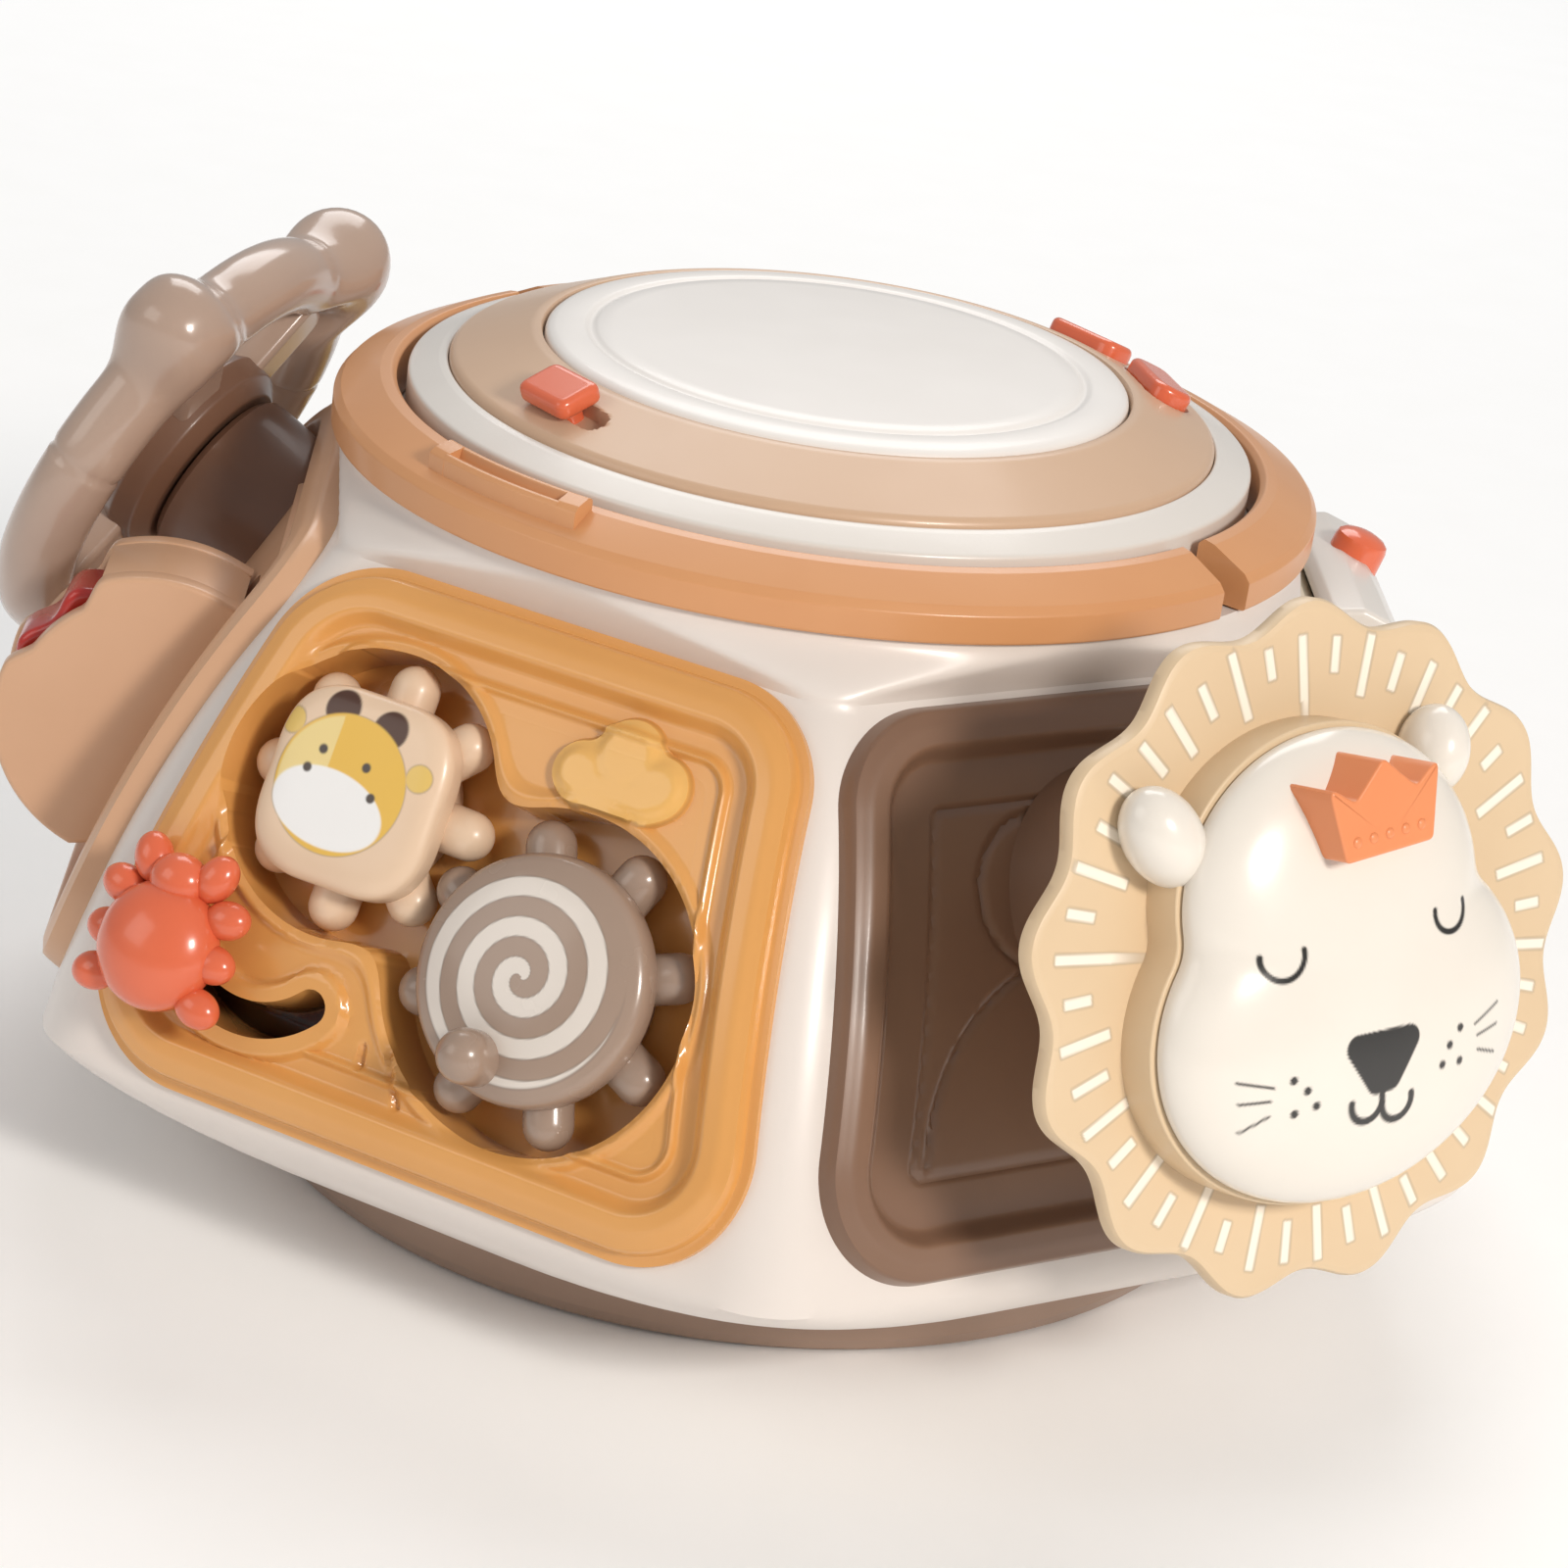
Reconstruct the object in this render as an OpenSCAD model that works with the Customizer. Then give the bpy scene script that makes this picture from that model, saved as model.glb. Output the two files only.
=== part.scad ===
// Activity drum: six leaning panels of toys round a moulded body with a drum pad on top
// Millimetres, +Z up, drum axis on Z, base bottom at z = 0

/* [Body] */
// Distance from the drum axis to the middle of a side face
face_reach = 108; // [104:1:112]
// Height of the middle of a side face
face_height = 79; // [77:1:82]
// Lean of the side faces from upright
face_lean = 26; // [24:1:27]
// Radius of the upright bulge of the side faces
face_bulge = 210; // [190:10:260]
// Rounding of the ridges between the side faces
ridge_round = 10; // [8:1:12]
// Wall of the moulded body
shell_wall = 2.5; // [2:0.5:3]
// Radius of the round lower rim of the body
rim_radius = 97; // [95:1:99]
// Height of the base under the body
base_height = 12; // [10:1:14]
// Radius of the base where it stands
foot_radius = 89; // [86:1:91]

/* [Panels] */
// Half height of a panel along its face
panel_half = 46; // [44:0.5:46.5]
// Half width of a panel at its top edge
panel_top = 47; // [45:0.5:48]
// Half width of a panel at its bottom edge
panel_bottom = 66; // [63:0.5:67]
// Rounding of the panel corners
panel_round = 19; // [16:1:21]
// Width of the raised frame of a panel
frame_width = 9.5; // [8:0.5:10.5]
// Height of the frame over the body
frame_crest = 4.5; // [4:0.25:5]

/* [Drum] */
// Radius of the drum pad
drum_radius = 52; // [50:0.5:53]
// Travel of the drum pad when it is hit
drum_travel = 2.5; // [1.5:0.5:3]
// Outer radius of the sand-coloured deck ring
deck_radius = 68.2; // [67.5:0.1:68.8]
// Outer radius of the ring of the carry handle
handle_radius = 87.8; // [86.5:0.1:88.5]
// Direction of the handle hinge seen from above
hinge_turn = 138; // [132:1:142]
// Travel of the slide switch
switch_travel = 7; // [5:0.5:7.5]

/* [Gears] */
// Radius of the ball ends of the gear pegs
peg_ball = 4.2; // [3.6:0.1:4.4]
// Radius of the ring of peg ends on the large gear
large_pegs = 22.7; // [22.2:0.1:23]
// Radius of the ring of peg ends on the small gear
small_pegs = 19; // [18.6:0.1:19.3]
// Radius of the gear axles
axle_radius = 2.5; // [2:0.1:3]
// Swing of the knob in its arc slot
knob_swing = 97; // [80:1:99]

/* [Lion] */
// Mean radius of the mane
mane_radius = 53; // [51:0.5:55]
// Depth of the waves along the edge of the mane
mane_wave = 2; // [1:0.25:2.5]
// Thickness of the mane
mane_thick = 4; // [3:0.5:4.5]
// Height of the dome of the head
head_dome = 11; // [9:0.5:13]

/* [Steering wheel] */
// Radius of the middle line of the rim
rim_ring = 38; // [36:0.5:39]
// Radius of the rim tube
rim_tube = 7; // [6:0.25:7.5]
// Radius of the ears on the rim
ear_radius = 8.5; // [7:0.25:9]

/* [Fits] */
// Gap between moving pieces
run_gap = 0.4; // [0.35:0.05:0.6]
// Gap of a bore round its pin
pin_gap = 0.05; // [0.03:0.01:0.08]
// Gap between fixed pieces
seat_gap = 0.15; // [0.1:0.05:0.25]

/* [Hidden] */
$fn = 64;

sides = 6;
half_turn = 180 / sides;
gear_side = -120;
lion_side = -60;
piano_side = 0;
clock_side = 60;
roller_side = 120;
wheel_side = 180;

body_top = 128;
flange_inner = 60;
foot_flange = 84;
corner_steps = 4;
face_top = 47;
face_bottom = -48;
top_radius = 86;
round_margin = 1.5;
ridge_soft = 8;

panel_floor = 1.2;
panel_back = 3;
window_inset = 5;
plate_reach = 14;

hinge_rise = 4.5;
hinge_height = body_top + hinge_rise;
hinge_pin = 2;
hinge_lug = 4.2;
collar_wide = 7;
collar_outer = deck_radius + collar_wide;
ring_gap = 1.8;
ring_inner = collar_outer + ring_gap;
pin_cover = 3.4;
split_angle = 5;
deck_slope = 21.9;
deck_middle = (drum_radius + deck_radius) / 2 + 0.2;
deck_level = body_top + 17.7;
switch_turn = -142;
song_turn = 37;
volume_turn = 13;
button_press = 2;
drum_lip = 1.4;

snail_at = [17.3, -9.3];
cow_at = [-24.4, 9.7];
mesh_angle = atan2(snail_at[1] - cow_at[1], snail_at[0] - cow_at[0]);
peg_count = 8;
peg_level = -4.6;
pocket_floor = -9.6;
arc_at = [-32.7, -13.4];
arc_radius = 18;
knob_start = -141.3;
slot_half = 2.7;

lion_reach = 148.7;
lion_shift = 2.6;
lion_height = face_height + 21.4;
lion_lean = 15;
lion_swing = 3;
lion_roll = 6;
post_pin = 5;
head_foot = 7;
head_wide = 35;
head_taper = 0.15;
head_tall = 37.5;
crown_level = 10.5;
crown_tall = 12.5;
crown_at = [-3.5, 0.5];
ear_at = [29, 28];

wheel_turn = 157;
wheel_lean = 26;
wheel_at = [-face_reach - 10, 33, face_height + 29];
column_pin = 4;
hub_radius = 18;
hub_back = -9;
spoke_angles = [36, 144, -144, -36];

console_at = [-4, 4];
console_radius = 24;
click_radius = 26.5;

key_pivot = [19.5, 1.4];
key_wide = 17.5;
key_pitch = 18.5;
key_rod_radius = 1.6;

// Unit vector along v
function unit(v) = v / norm(v);

// Arc that rounds corner b between a and c with radius r
function corner_arc(a, b, c, r, steps) =
  let (u = unit(a - b))
  let (v = unit(c - b))
  let (half = acos(u * v) / 2)
  let (centre = b + unit(u + v) * r / sin(half))
  let (from = b + u * r / tan(half) - centre)
  let (to = b + v * r / tan(half) - centre)
  let (start = atan2(from[1], from[0]))
  let (sweep = (atan2(to[1], to[0]) - start + 540) % 360 - 180)
  [for (i = [0 : steps]) centre + r * [cos(start + sweep * i / steps), sin(start + sweep * i / steps)]];

// Polygon p with each corner rounded by r
function rounded(p, r, steps) =
  [for (i = [0 : len(p) - 1])
    for (q = corner_arc(p[(i + len(p) - 1) % len(p)], p[i], p[(i + 1) % len(p)], r, steps)) q];

// Rectangle w by h about the origin
function rect(w, h) = [[-w / 2, -h / 2], [w / 2, -h / 2], [w / 2, h / 2], [-w / 2, h / 2]];

// Panel outline moved inwards by d
function panel_outline(d) =
  let (side = (panel_bottom - panel_top) / (2 * panel_half))
  let (mean = (panel_bottom + panel_top) / 2 - d * sqrt(1 + side * side))
  let (h = panel_half - d)
  rounded([[-mean - side * h, -h], [mean + side * h, -h], [mean - side * h, h], [-mean + side * h, h]],
    panel_round - d, 6);

// Fall of the bulged face at height w along it
function sag(w) = sqrt(face_bulge * face_bulge - w * w) - face_bulge;

// Distance from the axis and height of a point w up the face and n out of it
function face_a(w, n) = face_reach - w * sin(face_lean) + n * cos(face_lean);
function face_z(w, n) = face_height + w * cos(face_lean) + n * sin(face_lean);

// Rounded hexagon with apothem a and corner rounding r at height z
function body_ring(a, r, z) =
  [for (k = [0 : sides - 1])
    for (i = [0 : corner_steps])
      let (c = (a - r) / cos(half_turn))
      let (mid = half_turn + k * 2 * half_turn)
      let (t = mid - half_turn + 2 * half_turn * i / corner_steps)
      [c * cos(mid) + r * cos(t), c * sin(mid) + r * sin(t), z]];

// Rings of the lower bowl between the rim and the foot of the faces
function bowl_ring(t, lift, inset) =
  let (a1 = face_a(face_bottom, sag(face_bottom)) - inset)
  let (z0 = base_height + lift)
  let (z1 = face_z(face_bottom, sag(face_bottom)))
  body_ring(rim_radius + (a1 - rim_radius) * sin(90 * t),
    ridge_at(face_bottom) + (rim_radius - round_margin - ridge_at(face_bottom))
      * cos(90 * t), z0 + (z1 - z0) * t);

// Ridge rounding at height w, softer towards the bottom
function ridge_at(w) = ridge_round + (w < 0 ? ridge_soft * pow(w / face_bottom, 2) : 0);

// Rings of the bulged faces
function side_ring(w, inset) =
  body_ring(face_a(w, sag(w)) - inset, ridge_at(w), face_z(w, sag(w)));

// Rings of the shoulder between the faces and the round top
function shoulder_ring(t, drop, inset) =
  let (a0 = face_a(face_top, sag(face_top)) - inset)
  let (z0 = face_z(face_top, sag(face_top)))
  let (a1 = top_radius - inset)
  let (s = t * t * (3 - 2 * t))
  body_ring(a0 + (a1 - a0) * s, ridge_round + (a1 - round_margin - ridge_round) * s,
    z0 + (body_top - drop - z0) * t);

// Disc-like ring of radius r at height z
function round_ring(r, z) = body_ring(r, r - round_margin, z);

// Solid through a closed loop of rings
module ring_loop(rings) {
  m = len(rings[0]);
  n = len(rings);
  polyhedron([for (r = rings) for (p = r) p],
    [for (i = [0 : n - 1])
      for (j = [0 : m - 1])
        for (f = [[[i, j], [i + 1, j], [i + 1, j + 1]], [[i, j], [i + 1, j + 1], [i, j + 1]]])
          [for (q = f) (q[0] % n) * m + q[1] % m]], convexity = 8);
}

// Places children on a side face: x to the right, y up the face, z outwards
module on_face(turn) {
  rotate([0, 0, turn]) translate([face_reach, 0, face_height]) rotate([90 - face_lean, 0, 90]) children();
}

// Solid under the bulged face, raised by n
module bulge(n) {
  translate([0, 0, -face_bulge]) rotate([0, 90, 0])
    cylinder(r = face_bulge + n, h = 240, center = true, $fn = 180);
}

// Panel outline moved inwards by d as a prism
module panel_prism(d) {
  translate([0, 0, -plate_reach]) linear_extrude(2 * plate_reach) polygon(panel_outline(d));
}

// Frame and floor shared by the panels
module panel_plate() {
  difference() {
    union() {
      intersection() {
        panel_prism(0);
        difference() {
          bulge(frame_crest);
          bulge(seat_gap);
        }
      }
      intersection() {
        panel_prism(window_inset + seat_gap);
        difference() {
          bulge((panel_floor + seat_gap) / 2);
          bulge(-panel_back);
        }
      }
    }
    difference() {
      panel_prism(frame_width);
      bulge(panel_floor);
    }
  }
  intersection() {
    panel_prism(window_inset + seat_gap);
    difference() {
      bulge(panel_floor);
      bulge(-panel_back);
    }
  }
}

// Screw standing on its head at the origin
module screw(length, radius, head) {
  cylinder(r = head, h = 2, $fn = 32);
  cylinder(r = radius, h = length, $fn = 32);
}

module main_shell() {
  inset = shell_wall / cos(face_lean);
  steps = 7;
  span = face_top - face_bottom;
  color("#E4DFDA") difference() {
    ring_loop(concat(
      [round_ring(foot_flange, base_height)],
      [for (t = [0 : 0.25 : 0.75]) bowl_ring(t, 0, 0)],
      [for (i = [0 : steps]) side_ring(face_bottom + span * i / steps, 0)],
      [for (t = [0.25 : 0.25 : 1]) shoulder_ring(t, 0, 0)],
      [round_ring(flange_inner, body_top), round_ring(flange_inner, body_top - shell_wall)],
      [for (t = [1 : -0.25 : 0.25]) shoulder_ring(t, shell_wall, inset)],
      [for (i = [steps : -1 : 0]) side_ring(face_bottom + span * i / steps, inset)],
      [for (t = [0.75 : -0.25 : 0]) bowl_ring(t, shell_wall, inset)],
      [round_ring(foot_flange, base_height + shell_wall)]));
    for (k = [0 : sides - 1]) {
      on_face(k * 2 * half_turn) translate([0, 0, -plate_reach]) linear_extrude(2 * plate_reach)
        polygon(panel_outline(window_inset));
      rotate([0, 0, half_turn + k * 2 * half_turn]) translate([screw_ring(), 0, base_height - 1])
        cylinder(r = 1.5, h = shell_wall + 2, $fn = 32);
    }
  }
}

// Ring on which the base screws stand
function screw_ring() = foot_flange + 4;

module base_pan() {
  wall = 2.5;
  top = rim_radius - 1.5;
  color("#9A8070") difference() {
    union() {
      rotate_extrude($fn = 180) polygon([[0, 0], [foot_radius, 0], [foot_radius + 3, 1],
        [foot_radius + 4.2, 3.4],
        [top, base_height], [top - wall, base_height], [foot_radius + 1, 5], [foot_radius - 1, wall + 0.5],
        [0, wall + 0.5]]);
      for (k = [0 : sides - 1])
        rotate([0, 0, half_turn + k * 2 * half_turn]) translate([screw_ring(), 0, 1])
          cylinder(r = 4, h = base_height - 1, $fn = 32);
    }
    for (k = [0 : sides - 1])
      rotate([0, 0, half_turn + k * 2 * half_turn]) translate([screw_ring(), 0, -1]) {
        cylinder(r = 1.5, h = base_height + 3, $fn = 32);
        cylinder(r = 3, h = 4, $fn = 32);
      }
    for (k = [0 : sides - 1])
      rotate([0, 0, k * 2 * half_turn]) translate([foot_ring(), 0, -1]) cylinder(r = 6, h = 2.5, $fn = 48);
    translate([0, door_shift(), -1]) linear_extrude(6) polygon(rounded(rect(64, 48), 4, 4));
    for (i = [-3 : 3])
      translate([i * 4.5 - 1, speaker_shift() - 12, -1]) cube([2, 24, 6]);
  }
}

function foot_ring() = 76;
function door_shift() = 40;
function speaker_shift() = -40;

module base_screws() {
  color("#B9BCC0") for (k = [0 : sides - 1])
    rotate([0, 0, half_turn + k * 2 * half_turn]) translate([screw_ring(), 0, 1])
      screw(base_height + 4, 1.5, 2.8);
}

module rubber_feet() {
  color("#4A4644") for (k = [0 : sides - 1])
    rotate([0, 0, k * 2 * half_turn]) translate([foot_ring(), 0, 0]) cylinder(r = 5.9, h = 1.5, $fn = 48);
}

module battery_door() {
  color("#8F7668") difference() {
    translate([0, door_shift(), 0]) linear_extrude(2.5) polygon(rounded(rect(63.6, 47.6), 3.8, 4));
    translate([0, door_shift() + 20, 1]) cylinder(r = 2.5, h = 3, $fn = 32);
    for (i = [-2 : 2])
      translate([i * 5 - 1, door_shift() - 20, -1]) cube([2, 10, 1.6]);
  }
}

module battery_box() {
  color("#5E544D") translate([0, door_shift(), 0]) difference() {
    translate([0, 0, 3]) linear_extrude(17) polygon(rounded(rect(72, 56), 4, 4));
    translate([0, 0, 2]) linear_extrude(16) polygon(rounded(rect(62, 46), 3, 4));
  }
}

module batteries() {
  color("#3E6B4F") for (i = [-1 : 1])
    translate([-25, door_shift() + i * 14.8, 10.1]) rotate([0, 90, 0]) {
      cylinder(r = 7.2, h = 49, $fn = 48);
      cylinder(r = 2.7, h = 50.5, $fn = 32);
    }
}

module circuit_board() {
  color("#2F6B45") translate([0, door_shift(), 20 + seat_gap]) difference() {
    union() {
      translate([-30, -22, 0]) cube([60, 44, 1.6]);
      translate([-8, -8, 1]) cube([16, 16, 2.2]);
      translate([16, -14, 1]) cylinder(r = 4, h = 8, $fn = 32);
    }
    for (sx = [-1, 1])
      translate([sx * 26, 18, -1]) cylinder(r = 1.6, h = 4, $fn = 24);
  }
}

module speaker() {
  color("#3A3A3C") translate([0, speaker_shift(), 3.1]) rotate_extrude() polygon([[0, 5], [6, 3], [17, 1.5],
    [17, 0], [20, 0], [20, 2.5], [12, 7], [12, 12], [0, 12]]);
}

module drum_tray() {
  color("#D8D4CE") difference() {
    translate([0, 0, body_top]) cylinder(r = deck_radius - 3.2 - seat_gap, h = 2.5, $fn = 128);
    for (k = [0 : 2])
      rotate([0, 0, 60 + k * 120]) translate([50, 0, body_top - 1]) cylinder(r = 2, h = 5, $fn = 24);
  }
}

module drum_cushion() {
  color("#6D6A68") translate([0, 0, body_top + 2.5]) difference() {
    cylinder(r = 38, h = cushion_height(), $fn = 128);
    translate([0, 0, -1]) cylinder(r = 30, h = cushion_height() + 2, $fn = 128);
  }
}

// Height of the soft ring between the tray and the pad
function cushion_height() = 16;

module drum_pad() {
  under = body_top + 2.5 + cushion_height();
  r = drum_radius;
  h = body_top;
  top = h + 20.1 + drum_travel;
  color("#E2DEDA") rotate_extrude($fn = 180) polygon([[0, under], [0, top], [20, top - 0.2],
    [r - 9, top - 1], [r - 8.4, top - 1.5], [r - 7.6, top - 1.5], [r - 7, top - 1.1], [r - 2, top - 1.6],
    [r, top - 3], [r, h + 16.1], [r + drum_lip, h + 16.1], [r + drum_lip, h + 13.6], [r - 3, h + 13.6],
      [r - 3, under]]);
}

module top_ring() {
  inner = deck_radius + seat_gap;
  r = collar_outer;
  h = body_top;
  color("#ECE8E4") difference() {
    rotate_extrude($fn = 180) polygon([[inner, h], [r, h], [r, h + 9.6], [r - 0.4, h + 10.6],
      [r - 1.2, h + 11.2],
      [inner + 1.7, h + 13.1], [inner, h + 13.6]]);
    on_hinge() cylinder(r = hinge_pin, h = 200, center = true, $fn = 48);
  }
}

// Places children with z along the hinge line of the handle
module on_hinge() {
  rotate([0, 0, hinge_turn]) translate([0, 0, hinge_height]) rotate([0, 90, 0]) children();
}

// Places children on the sloped deck: x outwards, y along the ring, z away from it
module on_deck(turn) {
  rotate([0, 0, turn]) translate([deck_middle, 0, deck_level]) rotate([0, deck_slope, 0]) children();
}

module deck_ring() {
  inner = drum_radius + run_gap;
  wall = deck_radius - 3.2;
  r = deck_radius;
  h = body_top;
  color("#E0C8AE") difference() {
    rotate_extrude($fn = 180) polygon([[wall, h], [r, h], [r, h + 13.9], [r - 1, h + 14.9],
      [inner + 2.2, h + 20],
      [inner + 1.2, h + 20.4], [inner, h + 20.4], [inner, h + 16.4], [inner + 3.1, h + 16.4],
        [wall, h + 12.4]]);
    on_deck(switch_turn) translate([0, switch_travel / 2, -6]) linear_extrude(12)
      polygon(rounded(rect(5, 8 + switch_travel), 2.4, 4));
    for (t = [song_turn, volume_turn])
      on_deck(t) translate([0, 0, -6]) linear_extrude(12) polygon(rounded(rect(8.8, 18.8), 4.3, 6));
  }
}

// Section of the orange ring round the top
function ring_section(low) = [[ring_inner, low], [handle_radius, low], [handle_radius, body_top + 4.8],
  [handle_radius - 0.6, body_top + 6], [handle_radius - 2, body_top + 6.9], [ring_inner + 3, body_top + 10],
  [ring_inner + 1.6, body_top + 10.4], [ring_inner + 0.6, body_top + 10.2], [ring_inner, body_top + 9.4]];

module ring_trim() {
  color("#DDA070") rotate([0, 0, hinge_turn - 180 + split_angle])
    rotate_extrude(angle = 180 - 2 * split_angle, $fn = 180) polygon(ring_section(body_top));
}

module carry_handle() {
  r = ring_inner;
  h = body_top;
  color("#DDA070") difference() {
    union() {
      rotate([0, 0, hinge_turn]) rotate_extrude(angle = 180, $fn = 180)
        polygon(ring_section(body_top + run_gap - 0.1));
      for (s = [0, 1])
        on_hinge() rotate([0, s * 180, 0]) translate([0, 0, ring_inner + 0.4])
          cylinder(r = hinge_lug - 0.1, h = handle_radius - ring_inner - 2.4, $fn = 48);
      rotate([0, 0, hinge_turn + 78]) rotate_extrude(angle = 23, $fn = 180)
        polygon([[r + 2.4, h + 7], [r + 7.6, h + 5.5], [r + 7.6, h + 10.2], [r + 6.8, h + 11.2],
          [r + 3.4, h + 12.4],
          [r + 2.4, h + 11.6]]);
    }
    on_hinge()
      cylinder(r = hinge_pin + pin_gap, h = 2 * (handle_radius - pin_cover), center = true, $fn = 48);
  }
}

module handle_pins() {
  color("#B9BCC0") for (s = [0, 1])
    on_hinge() rotate([0, s * 180, 0]) translate([0, 0, deck_radius + 1])
      cylinder(r = hinge_pin, h = handle_radius - pin_cover - run_gap - deck_radius - 1, $fn = 48);
}

module power_switch() {
  color("#E0603A") on_deck(switch_turn) {
    translate([0, 0, run_gap]) linear_extrude(3) polygon(rounded(rect(9, 13), 2.5, 4));
    translate([0, 0, -4.6]) linear_extrude(5.6) polygon(rounded(rect(4.2, 7), 1.8, 4));
    translate([0, 0, -5.4]) linear_extrude(1.8) polygon(rounded(rect(8, 11), 1.5, 4));
    for (i = [-1 : 1])
      translate([-3, i * 3 - 0.6, 3]) cube([6, 1.2, 1.1]);
  }
}

// Oval push button for the deck
module deck_button(turn) {
  on_deck(turn) {
    translate([0, 0, -4.6]) linear_extrude(5.2 + button_press) polygon(rounded(rect(8, 18), 3.9, 6));
    translate([0.4, 0, -5.4]) linear_extrude(1.8) polygon(rounded(rect(8.8, 21), 4.2, 6));
  }
}

module song_button() {
  color("#E0603A") deck_button(song_turn);
}

module volume_button() {
  color("#E0603A") deck_button(volume_turn);
}

// Pocket for both gears, grown by d
module gear_pocket(d) {
  translate(cow_at) circle(r = small_pegs + peg_ball + 0.8 + d, $fn = 128);
  translate(snail_at) circle(r = large_pegs + peg_ball + 0.8 + d, $fn = 128);
}

// Arc slot of the knob with half width d
module arc_slot(d) {
  translate(arc_at) rotate_arc(arc_radius, d, knob_start, knob_swing);
}

// Arc of a ring with round ends
module rotate_arc(r, d, start, sweep) {
  steps = 16;
  stop = start + sweep;
  polygon(concat(
    [for (i = [0 : steps]) (r + d) * [cos(start + sweep * i / steps), sin(start + sweep * i / steps)]],
    [for (t = [20 : 20 : 160]) r * [cos(stop), sin(stop)] + d * [cos(stop + t), sin(stop + t)]],
    [for (i = [steps : -1 : 0]) (r - d) * [cos(start + sweep * i / steps), sin(start + sweep * i / steps)]],
    [for (t = [200 : 20 : 340]) r * [cos(start), sin(start)] + d * [cos(start + t), sin(start + t)]]));
}

module gear_panel() {
  color("#D79A4E") on_face(gear_side) difference() {
    union() {
      panel_plate();
      difference() {
        union() {
          translate([0, 0, pocket_floor - 2.4]) linear_extrude(4.6 - pocket_floor) gear_pocket(2.2);
          translate([0, 0, -1]) linear_extrude(3.2) arc_slot(6.6);
        }
        difference() {
          bulge(seat_gap);
          panel_prism(window_inset + seat_gap);
        }
      }
      translate([0, 0, -2]) linear_extrude(4.8) cloud();
    }
    translate([0, 0, pocket_floor]) linear_extrude(30) gear_pocket(0);
    translate([0, 0, -8]) linear_extrude(20) arc_slot(slot_half);
    for (c = [cow_at, snail_at])
      translate([c[0], c[1], pocket_floor - 6]) cylinder(r = axle_radius, h = 10, $fn = 48);
  }
}

module cloud() {
  translate([13, 30]) circle(r = 6, $fn = 48);
  translate([20, 33]) circle(r = 7, $fn = 48);
  translate([27, 29]) circle(r = 6, $fn = 48);
  translate([12, 24.5]) square([16, 7]);
}

module gear_axles() {
  color("#B9BCC0") on_face(gear_side) for (c = [cow_at, snail_at])
    translate([c[0], c[1], pocket_floor - 2.4]) cylinder(r = axle_radius, h = 12, $fn = 48);
}

// Ring of pegs with ball ends
module pegs(reach, turn) {
  for (i = [0 : peg_count - 1])
    rotate([0, 0, turn + i * 360 / peg_count]) translate([reach, 0, peg_level]) {
      sphere(r = peg_ball, $fn = 48);
      rotate([0, -90, 0]) cylinder(r = peg_ball, h = 10, $fn = 48);
    }
}

module snail_gear() {
  color("#B5A59A") on_face(gear_side) translate([snail_at[0], snail_at[1], 0]) difference() {
    union() {
      pegs(large_pegs, mesh_angle + 180);
      rotate_extrude($fn = 128) polygon([[0, pocket_floor + run_gap], [17, pocket_floor + run_gap], [17, -2],
        [20, -1.6], [20.7, -0.6], [20.7, 2], [20, 3.6], [18, 5], [12, 6], [0, 6.4]]);
      translate([-3.6, -14.7, 4]) cylinder(r = 4.5, h = 5, $fn = 48);
      translate([-3.6, -14.7, 9]) sphere(r = 4.5, $fn = 48);
    }
    translate([0, 0, pocket_floor - 1]) cylinder(r = axle_radius + pin_gap, h = 11, $fn = 48);
  }
}

module cow_gear() {
  color("#DDB79A") on_face(gear_side) translate([cow_at[0], cow_at[1], 0]) difference() {
    union() {
      pegs(small_pegs, mesh_angle + 180 / peg_count);
      translate([0, 0, pocket_floor + run_gap]) cylinder(r = 14, h = 10, $fn = 96);
      translate([0, 0, -1.6]) linear_extrude(5.6) polygon(rounded(rect(33, 33), 11, 8));
      translate([0, 0, 3]) linear_extrude(2.4) polygon(rounded(rect(30.4, 30.4), 10, 8));
    }
    translate([0, 0, pocket_floor - 1]) cylinder(r = axle_radius + pin_gap, h = 11, $fn = 48);
  }
}

module beetle_slider() {
  at = arc_at + arc_radius * [cos(knob_start), sin(knob_start)];
  color("#E0603A") on_face(gear_side) translate([at[0], at[1], 0]) {
    translate([0, 0, -7]) cylinder(r = slot_half - run_gap, h = 13, $fn = 48);
    translate([0, 0, -8.4]) cylinder(r = 4.2, h = 2, $fn = 48);
    rotate_extrude($fn = 96) polygon([[0, 5.2], [9.6, 5.2], [10.8, 6.4], [11, 8], [10.2, 10.6], [8, 13],
      [4.6, 14.6], [0, 15.2]]);
    for (s = [-1, 1])
      for (i = [-1 : 1])
        translate([s * 9.6, i * 7.6, 5.2]) cylinder(r = 3.6, h = 3.6, $fn = 32);
    translate([0, 11, 5.2]) cylinder(r = 4.4, h = 4.4, $fn = 32);
  }
}

module lion_panel() {
  color("#8F7463") on_face(lion_side) panel_plate();
}

// Places children on the lion: x right, y up, z along its turning line
module on_lion() {
  rotate([0, 0, lion_side]) translate([lion_reach, lion_shift, lion_height])
    rotate([90 - lion_lean, 0, 90 + lion_swing]) rotate([0, 0, lion_roll]) children();
}

module lion_post() {
  back = mane_thick + run_gap;
  color("#8F7463") {
    difference() {
      on_lion() translate([0, 0, -back - 70]) cylinder(r1 = 27, r2 = 14, h = 70, $fn = 96);
      on_face(lion_side) bulge(panel_floor);
    }
    on_lion() translate([0, 0, -back - 1]) cylinder(r = post_pin, h = back + 4, $fn = 48);
  }
}

// Radius of the waved mane at angle t
function mane_edge(t) = mane_radius + mane_wave * cos(13 * t);

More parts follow.
